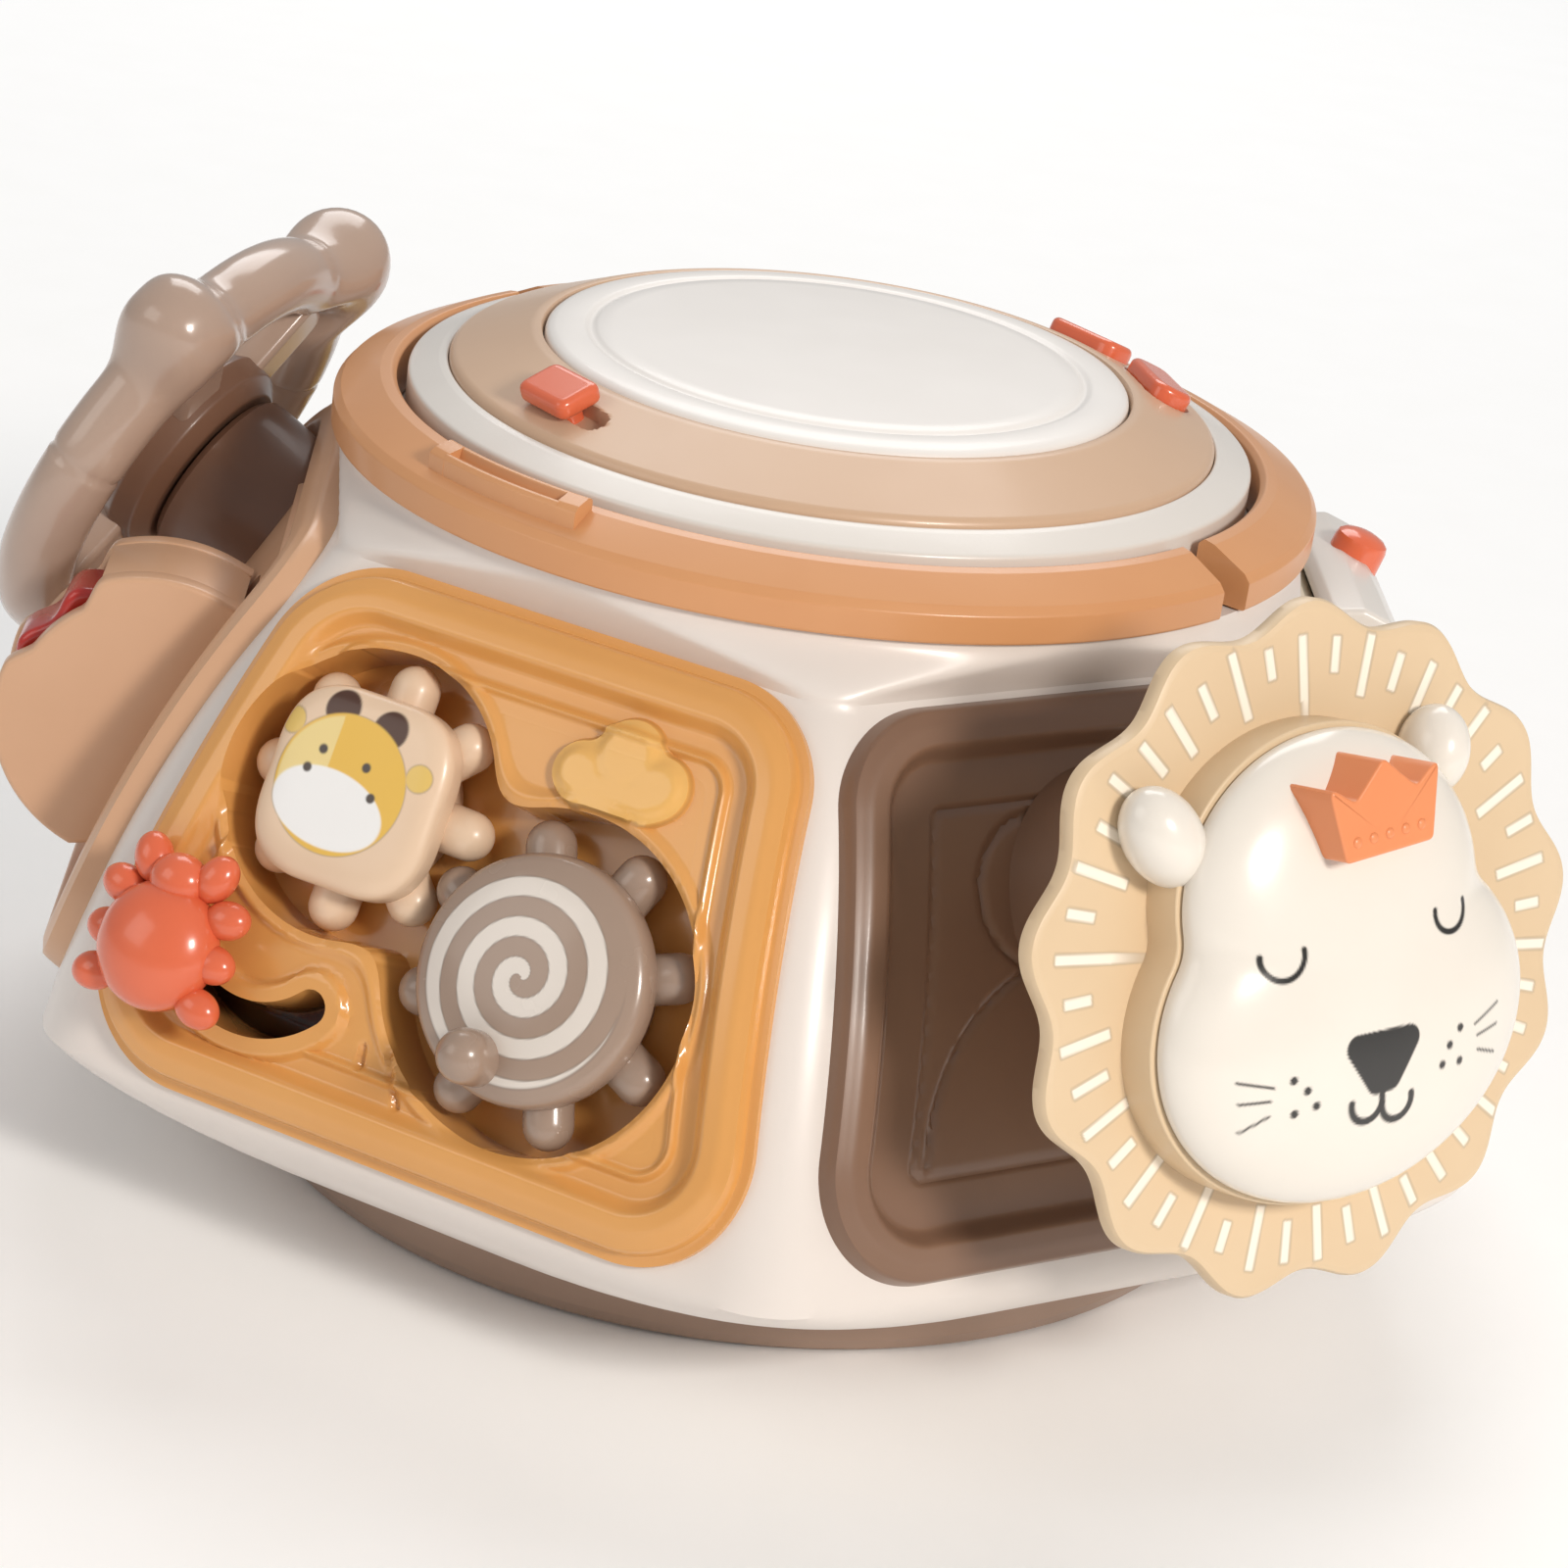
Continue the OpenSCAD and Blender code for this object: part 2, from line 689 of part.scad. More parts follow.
// Pear-shaped outline of the head, scaled by k
function head_outline(k) =
  [for (t = [0 : 10 : 350])
    k * [head_wide * cos(t) * (1 - head_taper * sin(t)), head_tall * sin(t)]];

module lion_mane() {
  color("#EFD2A6") on_lion() difference() {
    union() {
      translate([0, 0, -mane_thick]) linear_extrude(mane_thick)
        polygon([for (t = [0 : 4 : 356]) mane_edge(t) * [cos(t), sin(t)]]);
      linear_extrude(head_foot) polygon(head_outline(1));
    }
    translate([0, 0, -mane_thick - 1]) cylinder(r = post_pin + pin_gap, h = mane_thick + 5, $fn = 48);
  }
}

module lion_face() {
  levels = 8;
  low = head_foot + seat_gap;
  rings = concat(
    [for (p = head_outline(0.98)) [p[0], p[1], low]],
    [for (i = [0 : levels - 1]) for (p = head_outline(0.98 * sqrt(cos(88 * i / levels))))
      [p[0], p[1], low + 1.5 + head_dome * sin(90 * i / levels)]]);
  m = len(head_outline(1));
  n = levels + 1;
  color("#F4F0EA") on_lion() difference() {
    polyhedron(concat(rings, [[0, 0, low], [0, 0, low + 1.5 + head_dome]]), concat(
      [for (i = [0 : n - 2]) for (j = [0 : m - 1])
        for (f = [[[i, j], [i + 1, j], [i + 1, j + 1]], [[i, j], [i + 1, j + 1], [i, j + 1]]])
          [for (q = f) q[0] * m + q[1] % m]],
      [for (j = [0 : m - 1]) [n * m, j, (j + 1) % m]],
      [for (j = [0 : m - 1]) [n * m + 1, (n - 1) * m + (j + 1) % m, (n - 1) * m + j]]), convexity = 4);
    translate([0, 0, crown_level]) linear_extrude(40) polygon(crown_outline(seat_gap));
  }
}

module lion_ears() {
  color("#F4F0EA") on_lion() difference() {
    for (s = [-1, 1])
      translate([s * ear_at[0], ear_at[1], 0]) intersection() {
        translate([0, 0, 2]) sphere(r = 9.5, $fn = 64);
        translate([-12, -12, seat_gap]) cube([24, 24, 20]);
      }
    translate([0, 0, -1]) linear_extrude(40) polygon(head_outline(1.01));
  }
}

// Crown outline with three points, grown by d
function crown_outline(d) = [for (q = [[-9.5 - d, 19 - d], [10.5 + d, 19 - d], [14 + d, 34 + d],
  [8.4, 29.5 + d],
  [0.5, 36.5 + d], [-7.4, 29.5 + d], [-13 - d, 34 + d]]) crown_at + q];

module lion_crown() {
  color("#E58A5C") on_lion() difference() {
    translate([0, 0, crown_level + seat_gap]) linear_extrude(crown_tall) polygon(crown_outline(0));
    translate([-25, crown_at[1] + 21.5, crown_level + crown_tall - 1]) cube([50, 2.2, 4]);
  }
}

module wheel_panel() {
  color("#CFA98C") on_face(wheel_side) difference() {
    union() {
      panel_plate();
      for (u = [11, 29.6])
        translate([u, 0, 0]) intersection() {
          console(4.4);
          translate([-1, -40, 0]) cube([8, 80, 60]);
        }
    }
    translate([16, console_at[0] - click_radius - 3, -20]) cube([13, 2 * click_radius + 6, 70]);
    translate([8, console_at[0], console_at[1]]) rotate([0, 90, 0]) cylinder(r = 3, h = 22.5, $fn = 48);
  }
}

// Half-round cheek of the click wheel, h wide along x
module console(h) {
  translate([0, console_at[0], console_at[1]]) rotate([0, 90, 0])
    cylinder(r = console_radius, h = h, $fn = 96);
}

module click_axle() {
  color("#B9BCC0") on_face(wheel_side) translate([12.5, console_at[0], console_at[1]]) rotate([0, 90, 0])
    cylinder(r = 3, h = 18, $fn = 48);
}

module click_wheel() {
  lobes = 12;
  color("#B5251B") on_face(wheel_side) translate([16.5, console_at[0], console_at[1]]) rotate([0, 90, 0])
    difference() {
      union() {
        cylinder(r = click_radius - 2, h = 12, $fn = 96);
        for (i = [0 : lobes - 1])
          rotate([0, 0, i * 360 / lobes]) translate([click_radius - 3, 0, 0])
            cylinder(r = 3, h = 12, $fn = 32);
      }
      translate([0, 0, -1]) cylinder(r = 3 + pin_gap, h = 14, $fn = 48);
    }
}

// Places children on the steering wheel: x right, y up, z along its turning line
module on_wheel() {
  translate(wheel_at) rotate([0, 0, wheel_turn]) rotate([90 - wheel_lean, 0, 90]) children();
}

module wheel_column() {
  color("#CFA98C") {
    difference() {
      on_wheel() translate([0, 0, hub_back - run_gap - 43]) cylinder(r1 = 15, r2 = 9, h = 43, $fn = 96);
      on_face(wheel_side) bulge(panel_floor);
    }
    on_wheel() translate([0, 0, hub_back - 2]) cylinder(r = column_pin, h = 7.6, $fn = 48);
  }
}

module wheel_rim() {
  color("#C4AE9F") on_wheel() difference() {
    union() {
      rotate_extrude($fn = 128) translate([rim_ring, 0]) circle(r = rim_tube, $fn = 64);
      for (t = [36, -36])
        rotate([0, 0, 90 + t]) translate([rim_ring + 9, 0, 0]) sphere(r = ear_radius, $fn = 64);
      for (t = spoke_angles)
        rotate([0, 0, 90 + t]) translate([10, -5.5, -5]) cube([rim_ring - 12, 11, 6]);
      translate([0, 0, hub_back]) cylinder(r = hub_radius, h = 1 - hub_back, $fn = 96);
    }
    translate([0, 0, hub_back - 1]) cylinder(r = column_pin + pin_gap, h = 7, $fn = 48);
    translate([0, 0, -2.2]) cylinder(r = 12, h = 6, $fn = 64);
  }
}

module wheel_cap() {
  color("#7A5A48") on_wheel() difference() {
    rotate_extrude($fn = 96) polygon([[8, 1.15], [17.4, 1.15], [17.8, 2], [16.8, 5], [13.5, 7.4], [8, 8.2]]);
    translate([0, 0, -1]) cylinder(r = 8 + run_gap, h = 12, $fn = 64);
  }
}

module horn_button() {
  color("#E0603A") on_wheel() {
    rotate_extrude($fn = 64) polygon([[0, -0.6], [10.8, -0.6], [10.8, 0.8], [8, 0.8], [8, 8.6],
      [6, 10.4], [0, 11.2]]);
  }
}

module piano_panel() {
  color("#E8DFC9") on_face(piano_side) difference() {
    union() {
      panel_plate();
      translate([-41, -37, -12]) cube([82, 63, 12]);
    }
    translate([-38, -34, -9.6]) cube([76, 57, 40]);
    translate([-39.6, key_pivot[0], key_pivot[1]]) rotate([0, 90, 0])
      cylinder(r = key_rod_radius, h = 79.2, $fn = 32);
  }
}

module key_rod() {
  color("#B9BCC0") on_face(piano_side) translate([-39.5, key_pivot[0], key_pivot[1]]) rotate([0, 90, 0])
    cylinder(r = key_rod_radius, h = 79, $fn = 32);
}

// One piano key, number i from the left
module piano_key(i) {
  on_face(piano_side) translate([(i - 1.5) * key_pitch - key_wide / 2, 0, 0]) difference() {
    rotate([90, 0, 90]) linear_extrude(key_wide) polygon([[-33, -2.6], [19, -2.6], [21.6, -1.8],
      [22.6, 0], [22.6, 3],
      [21.5, 5.2], [17, 6.4], [-28, 7.6], [-32, 6.8], [-33, 5]]);
    translate([-1, key_pivot[0], key_pivot[1]]) rotate([0, 90, 0])
      cylinder(r = key_rod_radius + pin_gap, h = key_wide + 2, $fn = 32);
  }
}

module key_coral() {
  color("#E0603A") piano_key(0);
}

module key_amber() {
  color("#E5B84C") piano_key(1);
}

module key_cream() {
  color("#F4F0EA") piano_key(2);
}

module key_taupe() {
  color("#9A8070") piano_key(3);
}

module key_hood() {
  color("#F0EADF") on_face(piano_side) difference() {
    translate([-27, 0, 0]) rotate([90, 0, 90]) linear_extrude(54) polygon([[25, -0.1], [35.4, -1.6],
      [35.4, 1.9],
      [45.5, 0.2], [46, 3], [44.4, 8], [40.6, 11.5], [35, 12.8], [30, 12], [26.5, 9], [25, 5]]);
    hood_axis() translate([0, 0, -4]) cylinder(r = 5 + run_gap, h = 20, $fn = 48);
  }
}

// Places children with z along the push line of the hood button
module hood_axis() {
  translate([8, 36.4, 5.6]) rotate([-48, 0, 0]) children();
}

module hood_button() {
  color("#E0603A") on_face(piano_side) hood_axis() {
    rotate_extrude($fn = 48) polygon([[0, 0.7], [5, 0.7], [5, 9.6], [3.6, 11], [0, 11.6]]);
  }
}

module clock_panel() {
  color("#E6C48E") on_face(clock_side) difference() {
    union() {
      panel_plate();
      translate([0, 0, -2]) cylinder(r = 33, h = 4.6, $fn = 128);
    }
    translate([0, 0, -10]) cylinder(r = axle_radius, h = 20, $fn = 48);
    for (i = [0 : 11])
      rotate([0, 0, i * 30]) translate([28, 0, 1.6]) cylinder(r = i % 3 == 0 ? 2.2 : 1.2, h = 4, $fn = 24);
  }
}

module clock_pin() {
  color("#B9BCC0") on_face(clock_side) {
    translate([0, 0, -3]) cylinder(r = axle_radius, h = 12, $fn = 48);
    translate([0, 0, 8.6]) cylinder(r = 4.4, h = 1.8, $fn = 48);
  }
}

// Hand of the clock, length l, half width h
module clock_hand(l, h) {
  difference() {
    linear_extrude(2.4) polygon(concat(
      [for (t = [70 : 20 : 290]) 6 * [cos(t), sin(t)]],
      [[l - 8, -h], [l - 7, -h - 2.5], [l, 0], [l - 7, h + 2.5], [l - 8, h]]));
    translate([0, 0, -1]) cylinder(r = axle_radius + pin_gap, h = 5, $fn = 48);
  }
}

module hour_hand() {
  color("#E0603A") on_face(clock_side) rotate([0, 0, 30]) translate([0, 0, 2.6 + run_gap]) clock_hand(18, 2);
}

module minute_hand() {
  color("#8F7463") on_face(clock_side) rotate([0, 0, 90]) translate([0, 0, 5 + 2 * run_gap])
    clock_hand(26, 1.6);
}

module roller_panel() {
  color("#B9A48F") on_face(roller_side) difference() {
    union() {
      panel_plate();
      translate([-40, -21, -17]) cube([80, 42, 17]);
      for (u = [-40, 36.6])
        translate([u, -12, -2]) cube([3.4, 24, 14]);
    }
    translate([-36.6, -18, -15]) cube([73.2, 36, 60]);
    translate([-38.6, 0, 4]) rotate([0, 90, 0]) cylinder(r = axle_radius, h = 77.2, $fn = 48);
  }
}

module roller_axle() {
  color("#B9BCC0") on_face(roller_side) translate([-38.5, 0, 4]) rotate([0, 90, 0])
    cylinder(r = axle_radius, h = 77, $fn = 48);
}

// Eight-sided roller, number i from the left
module roller(i) {
  on_face(roller_side) translate([-36.2 + i * 24.2, 0, 4]) rotate([0, 90, 0]) difference() {
    cylinder(r = 16, h = 23.8, $fn = 8);
    translate([0, 0, -1]) cylinder(r = axle_radius + pin_gap, h = 26, $fn = 48);
  }
}

module roller_left() {
  color("#E0603A") roller(0);
}

module roller_middle() {
  color("#F0E6D2") roller(1);
}

module roller_right() {
  color("#E5B84C") roller(2);
}

main_shell();
base_pan();
base_screws();
rubber_feet();
battery_door();
batteries();
battery_box();
circuit_board();
speaker();
drum_tray();
drum_cushion();
drum_pad();
top_ring();
deck_ring();
ring_trim();
carry_handle();
handle_pins();
power_switch();
song_button();
volume_button();
gear_panel();
gear_axles();
snail_gear();
cow_gear();
beetle_slider();
lion_panel();
lion_post();
lion_mane();
lion_face();
lion_ears();
lion_crown();
wheel_panel();
wheel_column();
wheel_rim();
wheel_cap();
horn_button();
click_axle();
click_wheel();
piano_panel();
key_hood();
hood_button();
key_rod();
key_coral();
key_amber();
key_cream();
key_taupe();
clock_panel();
clock_pin();
hour_hand();
minute_hand();
roller_panel();
roller_axle();
roller_left();
roller_middle();
roller_right();
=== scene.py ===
"""Looks of the activity drum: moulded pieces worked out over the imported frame, in plain studio light."""
import math
import bmesh
import bpy
import numpy as np
from mathutils import Matrix


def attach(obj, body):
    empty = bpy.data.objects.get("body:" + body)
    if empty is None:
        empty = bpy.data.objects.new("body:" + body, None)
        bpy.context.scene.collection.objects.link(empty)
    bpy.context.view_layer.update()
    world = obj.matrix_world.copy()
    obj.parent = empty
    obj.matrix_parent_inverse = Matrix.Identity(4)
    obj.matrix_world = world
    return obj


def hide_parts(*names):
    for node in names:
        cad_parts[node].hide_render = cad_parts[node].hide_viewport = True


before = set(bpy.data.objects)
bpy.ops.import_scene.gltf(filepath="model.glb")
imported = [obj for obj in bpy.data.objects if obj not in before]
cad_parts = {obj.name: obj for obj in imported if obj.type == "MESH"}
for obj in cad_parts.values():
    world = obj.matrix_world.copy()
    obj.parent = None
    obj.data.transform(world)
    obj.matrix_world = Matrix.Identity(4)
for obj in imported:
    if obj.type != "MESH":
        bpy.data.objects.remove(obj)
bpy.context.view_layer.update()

# Sizes of the part, in millimetres and degrees, as in its source where the source has them
REACH, HEIGHT, LEAN, BULGE = 108.0, 79.0, 26.0, 210.0
RIDGE, RIDGE_SOFT, WALL = 10.0, 8.0, 2.5
RIM_RADIUS, BASE_HEIGHT = 97.0, 12.0
BODY_TOP, TOP_RADIUS, FACE_TOP, FACE_BOTTOM = 128.0, 86.0, 47.0, -48.0
UNDER_RADIUS, MOUTH_RADIUS = 84.0, 60.0
PANEL_HALF, PANEL_TOP, PANEL_BOTTOM, PANEL_ROUND = 46.0, 47.0, 66.0, 19.0
FRAME_WIDTH, CREST, FLOOR, WINDOW_EDGE = 9.5, 4.5, 1.2, 2.4
FRAME_FOOT, FRAME_SHOULDER, FRAME_STEP, RIB_AT, RIB_HALF, SKIN = -4.0, 0.8, 3.2, 12.9, 1.2, 2.0
SNAIL, COW, POCKET = (17.3, -9.3), (-24.4, 9.7), -9.6
SNAIL_POCKET, COW_POCKET, POCKET_BLEND, SLOT_DEPTH = 27.9, 24.2, 9.0, -8.5
CLICK_DEPTH, KEY_DEPTH, ROLLER_DEPTH = -6.0, -9.6, -15.0
DIAL_RADIUS, DIAL_LEVEL, DIAL_RIM, HOUR_RADIUS = 33.0, 2.6, 31.6, 27.0
ARC, ARC_RADIUS, KNOB_START, KNOB_SWING = (-32.7, -13.4), 18.0, -141.3, 97.0
HINGE_TURN = 138.0
DECK_SLOPE, DECK_MIDDLE, DECK_LEVEL, SEAT_DEPTH = 21.9, 60.3, 145.7, 2.6
SWITCH_TURN, SONG_TURN, VOLUME_TURN, SWITCH_TRAVEL = -142.0, 37.0, 13.0, 7.0
SIDES = {"gear": -120.0, "lion": -60.0, "piano": 0.0, "clock": 60.0, "roller": 120.0, "wheel": 180.0}
LION_REACH, LION_HEIGHT, LION_STANDOFF = 148.7, 100.4, 2.6
LION_FACING, LION_LEAN, LION_TILT = -57.0, 15.0, 6.0
MANE_RADIUS, MANE_WAVE, MANE_WAVES, MANE_RAYS = 53.0, 2.0, 13, 44
CHEEKS, BROW, HEAD_BLEND, HEAD_SHIFT = (0.0, -9.0, 36.5, 28.5), (-0.6, 12.5, 28.6, 25.0), 3.0, -2.2
WHEEL_FACING, WHEEL_LEAN, WHEEL_MIDDLE = 157.0, 26.0, [-118.0, 33.0, 108.0]
RIM_MIDDLE, RIM_TUBE, EAR_TURN, EAR_SPREAD, EAR_SWELL, EAR_OUT, SEAM_TURN = 38.0, 7.0, 41.0, 11.0, 2.9, 8.0, 80.0
CONSOLE, CHEEK_RADIUS, UPPER_RISE, LOWER_RISE, COVER_START, COVER_END = (-4.0, 4.0), 23.6, 4.0, 2.8, -7.0, 46.0
CLICK_RADIUS, CLICK_WAVE, CLICK_LOBES = 24.8, 1.1, 12
PEG_COUNT, PEG_RADIUS, PEG_LENGTH, PEG_LEVEL = 8, 4.2, 10.0, -4.6
KEY_PITCH, KEY_WIDTH, HOOD_HALF, HOOD_PUSH_LEAN = 18.5, 17.5, 27.0, 48.0
ROLLER_RADIUS, ROLLER_RISE, ROLLER_START, ROLLER_PITCH, ROLLER_WIDTH = 16.0, 4.0, -36.2, 24.2, 23.8

# How finely the surfaces are divided, in rows and columns, and where a panel's frame rows meet its floor grid
FACE_ROWS, BLEND_ROWS, FACE_COLUMNS, CORNER_STEPS = 58, 14, 60, 28
SEAM, SEAM_LAP, GRID_WIDE, GRID_HIGH = 17.0, 1.6, 52.0, 31.2


def polar(r, turn, c=(0.0, 0.0)):
    """Points at radius r and turn degrees about c."""
    t = np.radians(turn)
    return np.stack([c[0] + r * np.cos(t), c[1] + r * np.sin(t)], -1)


def axes(turn, lean, origin):
    """Frame of a leaning plane: its origin, then rows right, up along it and outwards."""
    p, t = math.radians(turn), math.radians(lean)
    out = np.array([math.cos(p) * math.cos(t), math.sin(p) * math.cos(t), math.sin(t)])
    right = np.array([-math.sin(p), math.cos(p), 0.0])
    return np.asarray(origin, float), np.stack([right, np.cross(out, right), out])


def deck_axes(turn):
    """Frame on the sloped deck ring: outwards, along the ring, away from it."""
    origin, rows = axes(turn, -DECK_SLOPE, [*polar(DECK_MIDDLE, turn), DECK_LEVEL])
    return origin, rows[[2, 0, 1]]


WORLD = (np.zeros(3), np.eye(3))
FACE = {name: axes(turn, LEAN, [*polar(REACH, turn), HEIGHT]) for name, turn in SIDES.items()}
WHEEL = axes(WHEEL_FACING, WHEEL_LEAN, WHEEL_MIDDLE)


def place(ax, points):
    """Local millimetres to the part's frame."""
    return ax[0] + points @ ax[1]


def moved(ax, x, y, z):
    """The same frame with its origin at local x, y, z."""
    return place(ax, np.array([x, y, z], float)), ax[1]


def turned(ax, angle):
    """The same frame turned about its third row."""
    c, d = math.cos(math.radians(angle)), math.sin(math.radians(angle))
    return ax[0], np.array([[c, d, 0], [-d, c, 0], [0, 0, 1]]) @ ax[1]


def along_x(ax):
    """The same frame turned so that its third row is the old first row."""
    return ax[0], ax[1][[1, 2, 0]]


lion_axis = axes(SIDES["lion"], 0.0, [*polar(LION_REACH, SIDES["lion"]), LION_HEIGHT])
LION = turned(axes(LION_FACING, LION_LEAN, moved(lion_axis, LION_STANDOFF, 0, 0)[0]), LION_TILT)


# Distances and ramps that the surfaces are worked out with
def ramp(x, low, high):
    """Smooth step from 0 at low to 1 at high."""
    t = np.clip((x - low) / (high - low), 0.0, 1.0)
    return t * t * (3 - 2 * t)


def bead(x, middle, half):
    """Smooth bump of height 1 at middle that ends half away from it."""
    return ramp(half - np.abs(x - middle), 0.0, half)


def smooth_min(a, b, k):
    """Lower of two distances with a blend k wide."""
    t = np.clip(0.5 + 0.5 * (b - a) / k, 0.0, 1.0)
    return b + (a - b) * t - k * t * (1 - t)


def disc(x, y, c, r):
    """Distance to a disc, negative inside."""
    return np.hypot(x - c[0], y - c[1]) - r


def capsule_line(x, y, a, b):
    """Distance to the straight line from a to b."""
    dx, dy = b[0] - a[0], b[1] - a[1]
    t = np.clip(((x - a[0]) * dx + (y - a[1]) * dy) / (dx * dx + dy * dy), 0.0, 1.0)
    return np.hypot(x - a[0] - t * dx, y - a[1] - t * dy)


def arc_line(x, y, c, r, start, sweep):
    """Distance to an arc about c with radius r, in degrees from start over sweep."""
    turn = (np.degrees(np.arctan2(y - c[1], x - c[0])) - start - sweep / 2 + 180) % 360 - 180
    t = np.radians(np.clip(turn, -sweep / 2, sweep / 2) + start + sweep / 2)
    return np.hypot(x - c[0] - r * np.cos(t), y - c[1] - r * np.sin(t))


def round_box(x, y, c, half_x, half_y, r):
    """Distance to a rounded rectangle, negative inside."""
    qx, qy = np.abs(x - c[0]) - half_x + r, np.abs(y - c[1]) - half_y + r
    return np.hypot(np.maximum(qx, 0), np.maximum(qy, 0)) + np.minimum(np.maximum(qx, qy), 0) - r


def polygon_depth(x, y, corners):
    """Distance into a polygon, positive inside and negative outside."""
    p = np.asarray(corners, float)
    q = np.roll(p, -1, 0)
    near = np.full(np.shape(x), 1e9)
    inside = np.zeros(np.shape(x), bool)
    for a, b in zip(p, q):
        near = np.minimum(near, capsule_line(x, y, a, b))
        crosses = (a[1] > y) != (b[1] > y)
        inside ^= crosses & (x < (b[0] - a[0]) * (y - a[1]) / (b[1] - a[1] + 1e-12) + a[0])
    return np.where(inside, near, -near)


def panel_core():
    """Corners of the panel's outline moved inwards by its corner radius."""
    slope = (PANEL_BOTTOM - PANEL_TOP) / (2 * PANEL_HALF)
    mean = (PANEL_BOTTOM + PANEL_TOP) / 2 - PANEL_ROUND * math.sqrt(1 + slope * slope)
    h = PANEL_HALF - PANEL_ROUND
    low, high = mean + slope * h, mean - slope * h
    return np.array([(-low, -h), (low, -h), (high, h), (-high, h)])


def panel_depth(x, y):
    """Distance into a panel's rounded outline."""
    return polygon_depth(x, y, panel_core()) + PANEL_ROUND


def panel_rows(levels, step):
    """Rows of points along the panel's outline: core point plus normal times the radius less each level."""
    core = panel_core()
    spots, normals = [], []
    for a, b, c in zip(np.roll(core, 1, 0), core, np.roll(core, -1, 0)):
        n1, n2 = (math.atan2(p[0] - q[0], q[1] - p[1]) for p, q in ((a, b), (b, c)))
        t = n1 + (n2 - n1) % (2 * math.pi) * np.linspace(0, 1, CORNER_STEPS)
        k = np.linspace(0, 1, int(np.linalg.norm(c - b) / step) + 1)[1:-1, None]
        spots += [np.repeat(b[None], CORNER_STEPS, 0), b + k * (c - b)]
        normals += [np.stack([np.cos(t), np.sin(t)], -1),
                    np.repeat([[math.cos(n2), math.sin(n2)]], len(k), 0)]
    return np.concatenate(spots) + np.concatenate(normals) * (PANEL_ROUND - levels)[:, None, None]


def sag(y):
    """Fall of the bulged side face at height y along it."""
    return np.sqrt(BULGE * BULGE - y * y) - BULGE


def snapped(x, y, field, levels, step):
    """Grid points within half a step of a level of the field, slid onto it along the field's slope."""
    for level in levels:
        e = field(x, y) - level
        gx = (field(x + 0.05, y) - field(x - 0.05, y)) / 0.1
        gy = (field(x, y + 0.05) - field(x, y - 0.05)) / 0.1
        slide = np.where(np.abs(e) < 0.52 * step, e / np.maximum(gx * gx + gy * gy, 0.5), 0.0)
        x, y = x - slide * gx, y - slide * gy
    return x, y


def rounded(corners, r, steps=6):
    """Polygon with arcs of radius r in its corners."""
    p = np.asarray(corners, float)
    out = []
    for a, b, c in zip(np.roll(p, 1, 0), p, np.roll(p, -1, 0)):
        u, v = (a - b) / np.linalg.norm(a - b), (c - b) / np.linalg.norm(c - b)
        half = math.acos(float(np.clip(u @ v, -1, 1))) / 2
        reach = min(r / math.tan(half), 0.45 * np.linalg.norm(a - b), 0.45 * np.linalg.norm(c - b))
        t = np.linspace(0, 1, steps + 1)[:, None]
        out.append((1 - t) ** 2 * (b + u * reach) + 2 * t * (1 - t) * b + t * t * (b + v * reach))
    return np.concatenate(out)


def even(outline, count):
    """Closed outline with its points spread evenly along it."""
    o = np.concatenate([outline, outline[:1]])
    run = np.concatenate([[0], np.cumsum(np.linalg.norm(np.diff(o, axis=0), axis=1))])
    t = run[-1] * np.arange(count) / count
    return np.stack([np.interp(t, run, o[:, 0]), np.interp(t, run, o[:, 1])], -1)


# Meshes
def quads(rows, columns, wrap_rows, wrap_columns):
    """Index quads of a grid of vertices, row by row."""
    i = np.arange(rows if wrap_rows else rows - 1)[:, None]
    j = np.arange(columns if wrap_columns else columns - 1)[None, :]
    k, m = (i + 1) % rows, (j + 1) % columns
    corners = [i * columns + j, i * columns + m, k * columns + m, k * columns + j]
    return np.stack(corners, -1).reshape(-1, 4)


def two_skins(front, back, keep, wrap, height=None):
    """Kept cells of a front and a back grid, with walls where a kept cell has no neighbour.

    With heights given, each cell is cut along the diagonal whose ends differ less, so that steep edges stay clean.
    """
    rows, columns = front.shape[:2]
    cells = quads(rows, columns, False, wrap).reshape(rows - 1, -1, 4)
    size = rows * columns
    kept = cells[keep]
    if height is not None:
        h = height.ravel()[kept]
        first = np.abs(h[:, 0] - h[:, 2]) <= np.abs(h[:, 1] - h[:, 3])
        kept = np.concatenate([kept[first][:, [0, 1, 2]], kept[first][:, [0, 2, 3]],
                               kept[~first][:, [0, 1, 3]], kept[~first][:, [1, 2, 3]]])
    faces = [kept, kept[:, ::-1] + size]
    wide = np.pad(keep, 1)
    if wrap:
        wide[1:-1, 0], wide[1:-1, -1] = keep[:, -1], keep[:, 0]
    near = {(1, 2): wide[1:-1, 2:], (3, 0): wide[1:-1, :-2],
            (2, 3): wide[2:, 1:-1], (0, 1): wide[:-2, 1:-1]}
    for edge, other in near.items():
        e = cells[keep & ~other][:, edge]
        faces.append(np.concatenate([e, e[:, ::-1] + size], 1))
    return np.concatenate([front.reshape(-1, 3), back.reshape(-1, 3)]), faces


def spun(p, t):
    """Points of a profile of radius and height at each turn t."""
    return np.stack([np.outer(np.cos(t), p[:, 0]), np.outer(np.sin(t), p[:, 0]),
                     np.broadcast_to(p[:, 1], (len(t), len(p)))], -1)


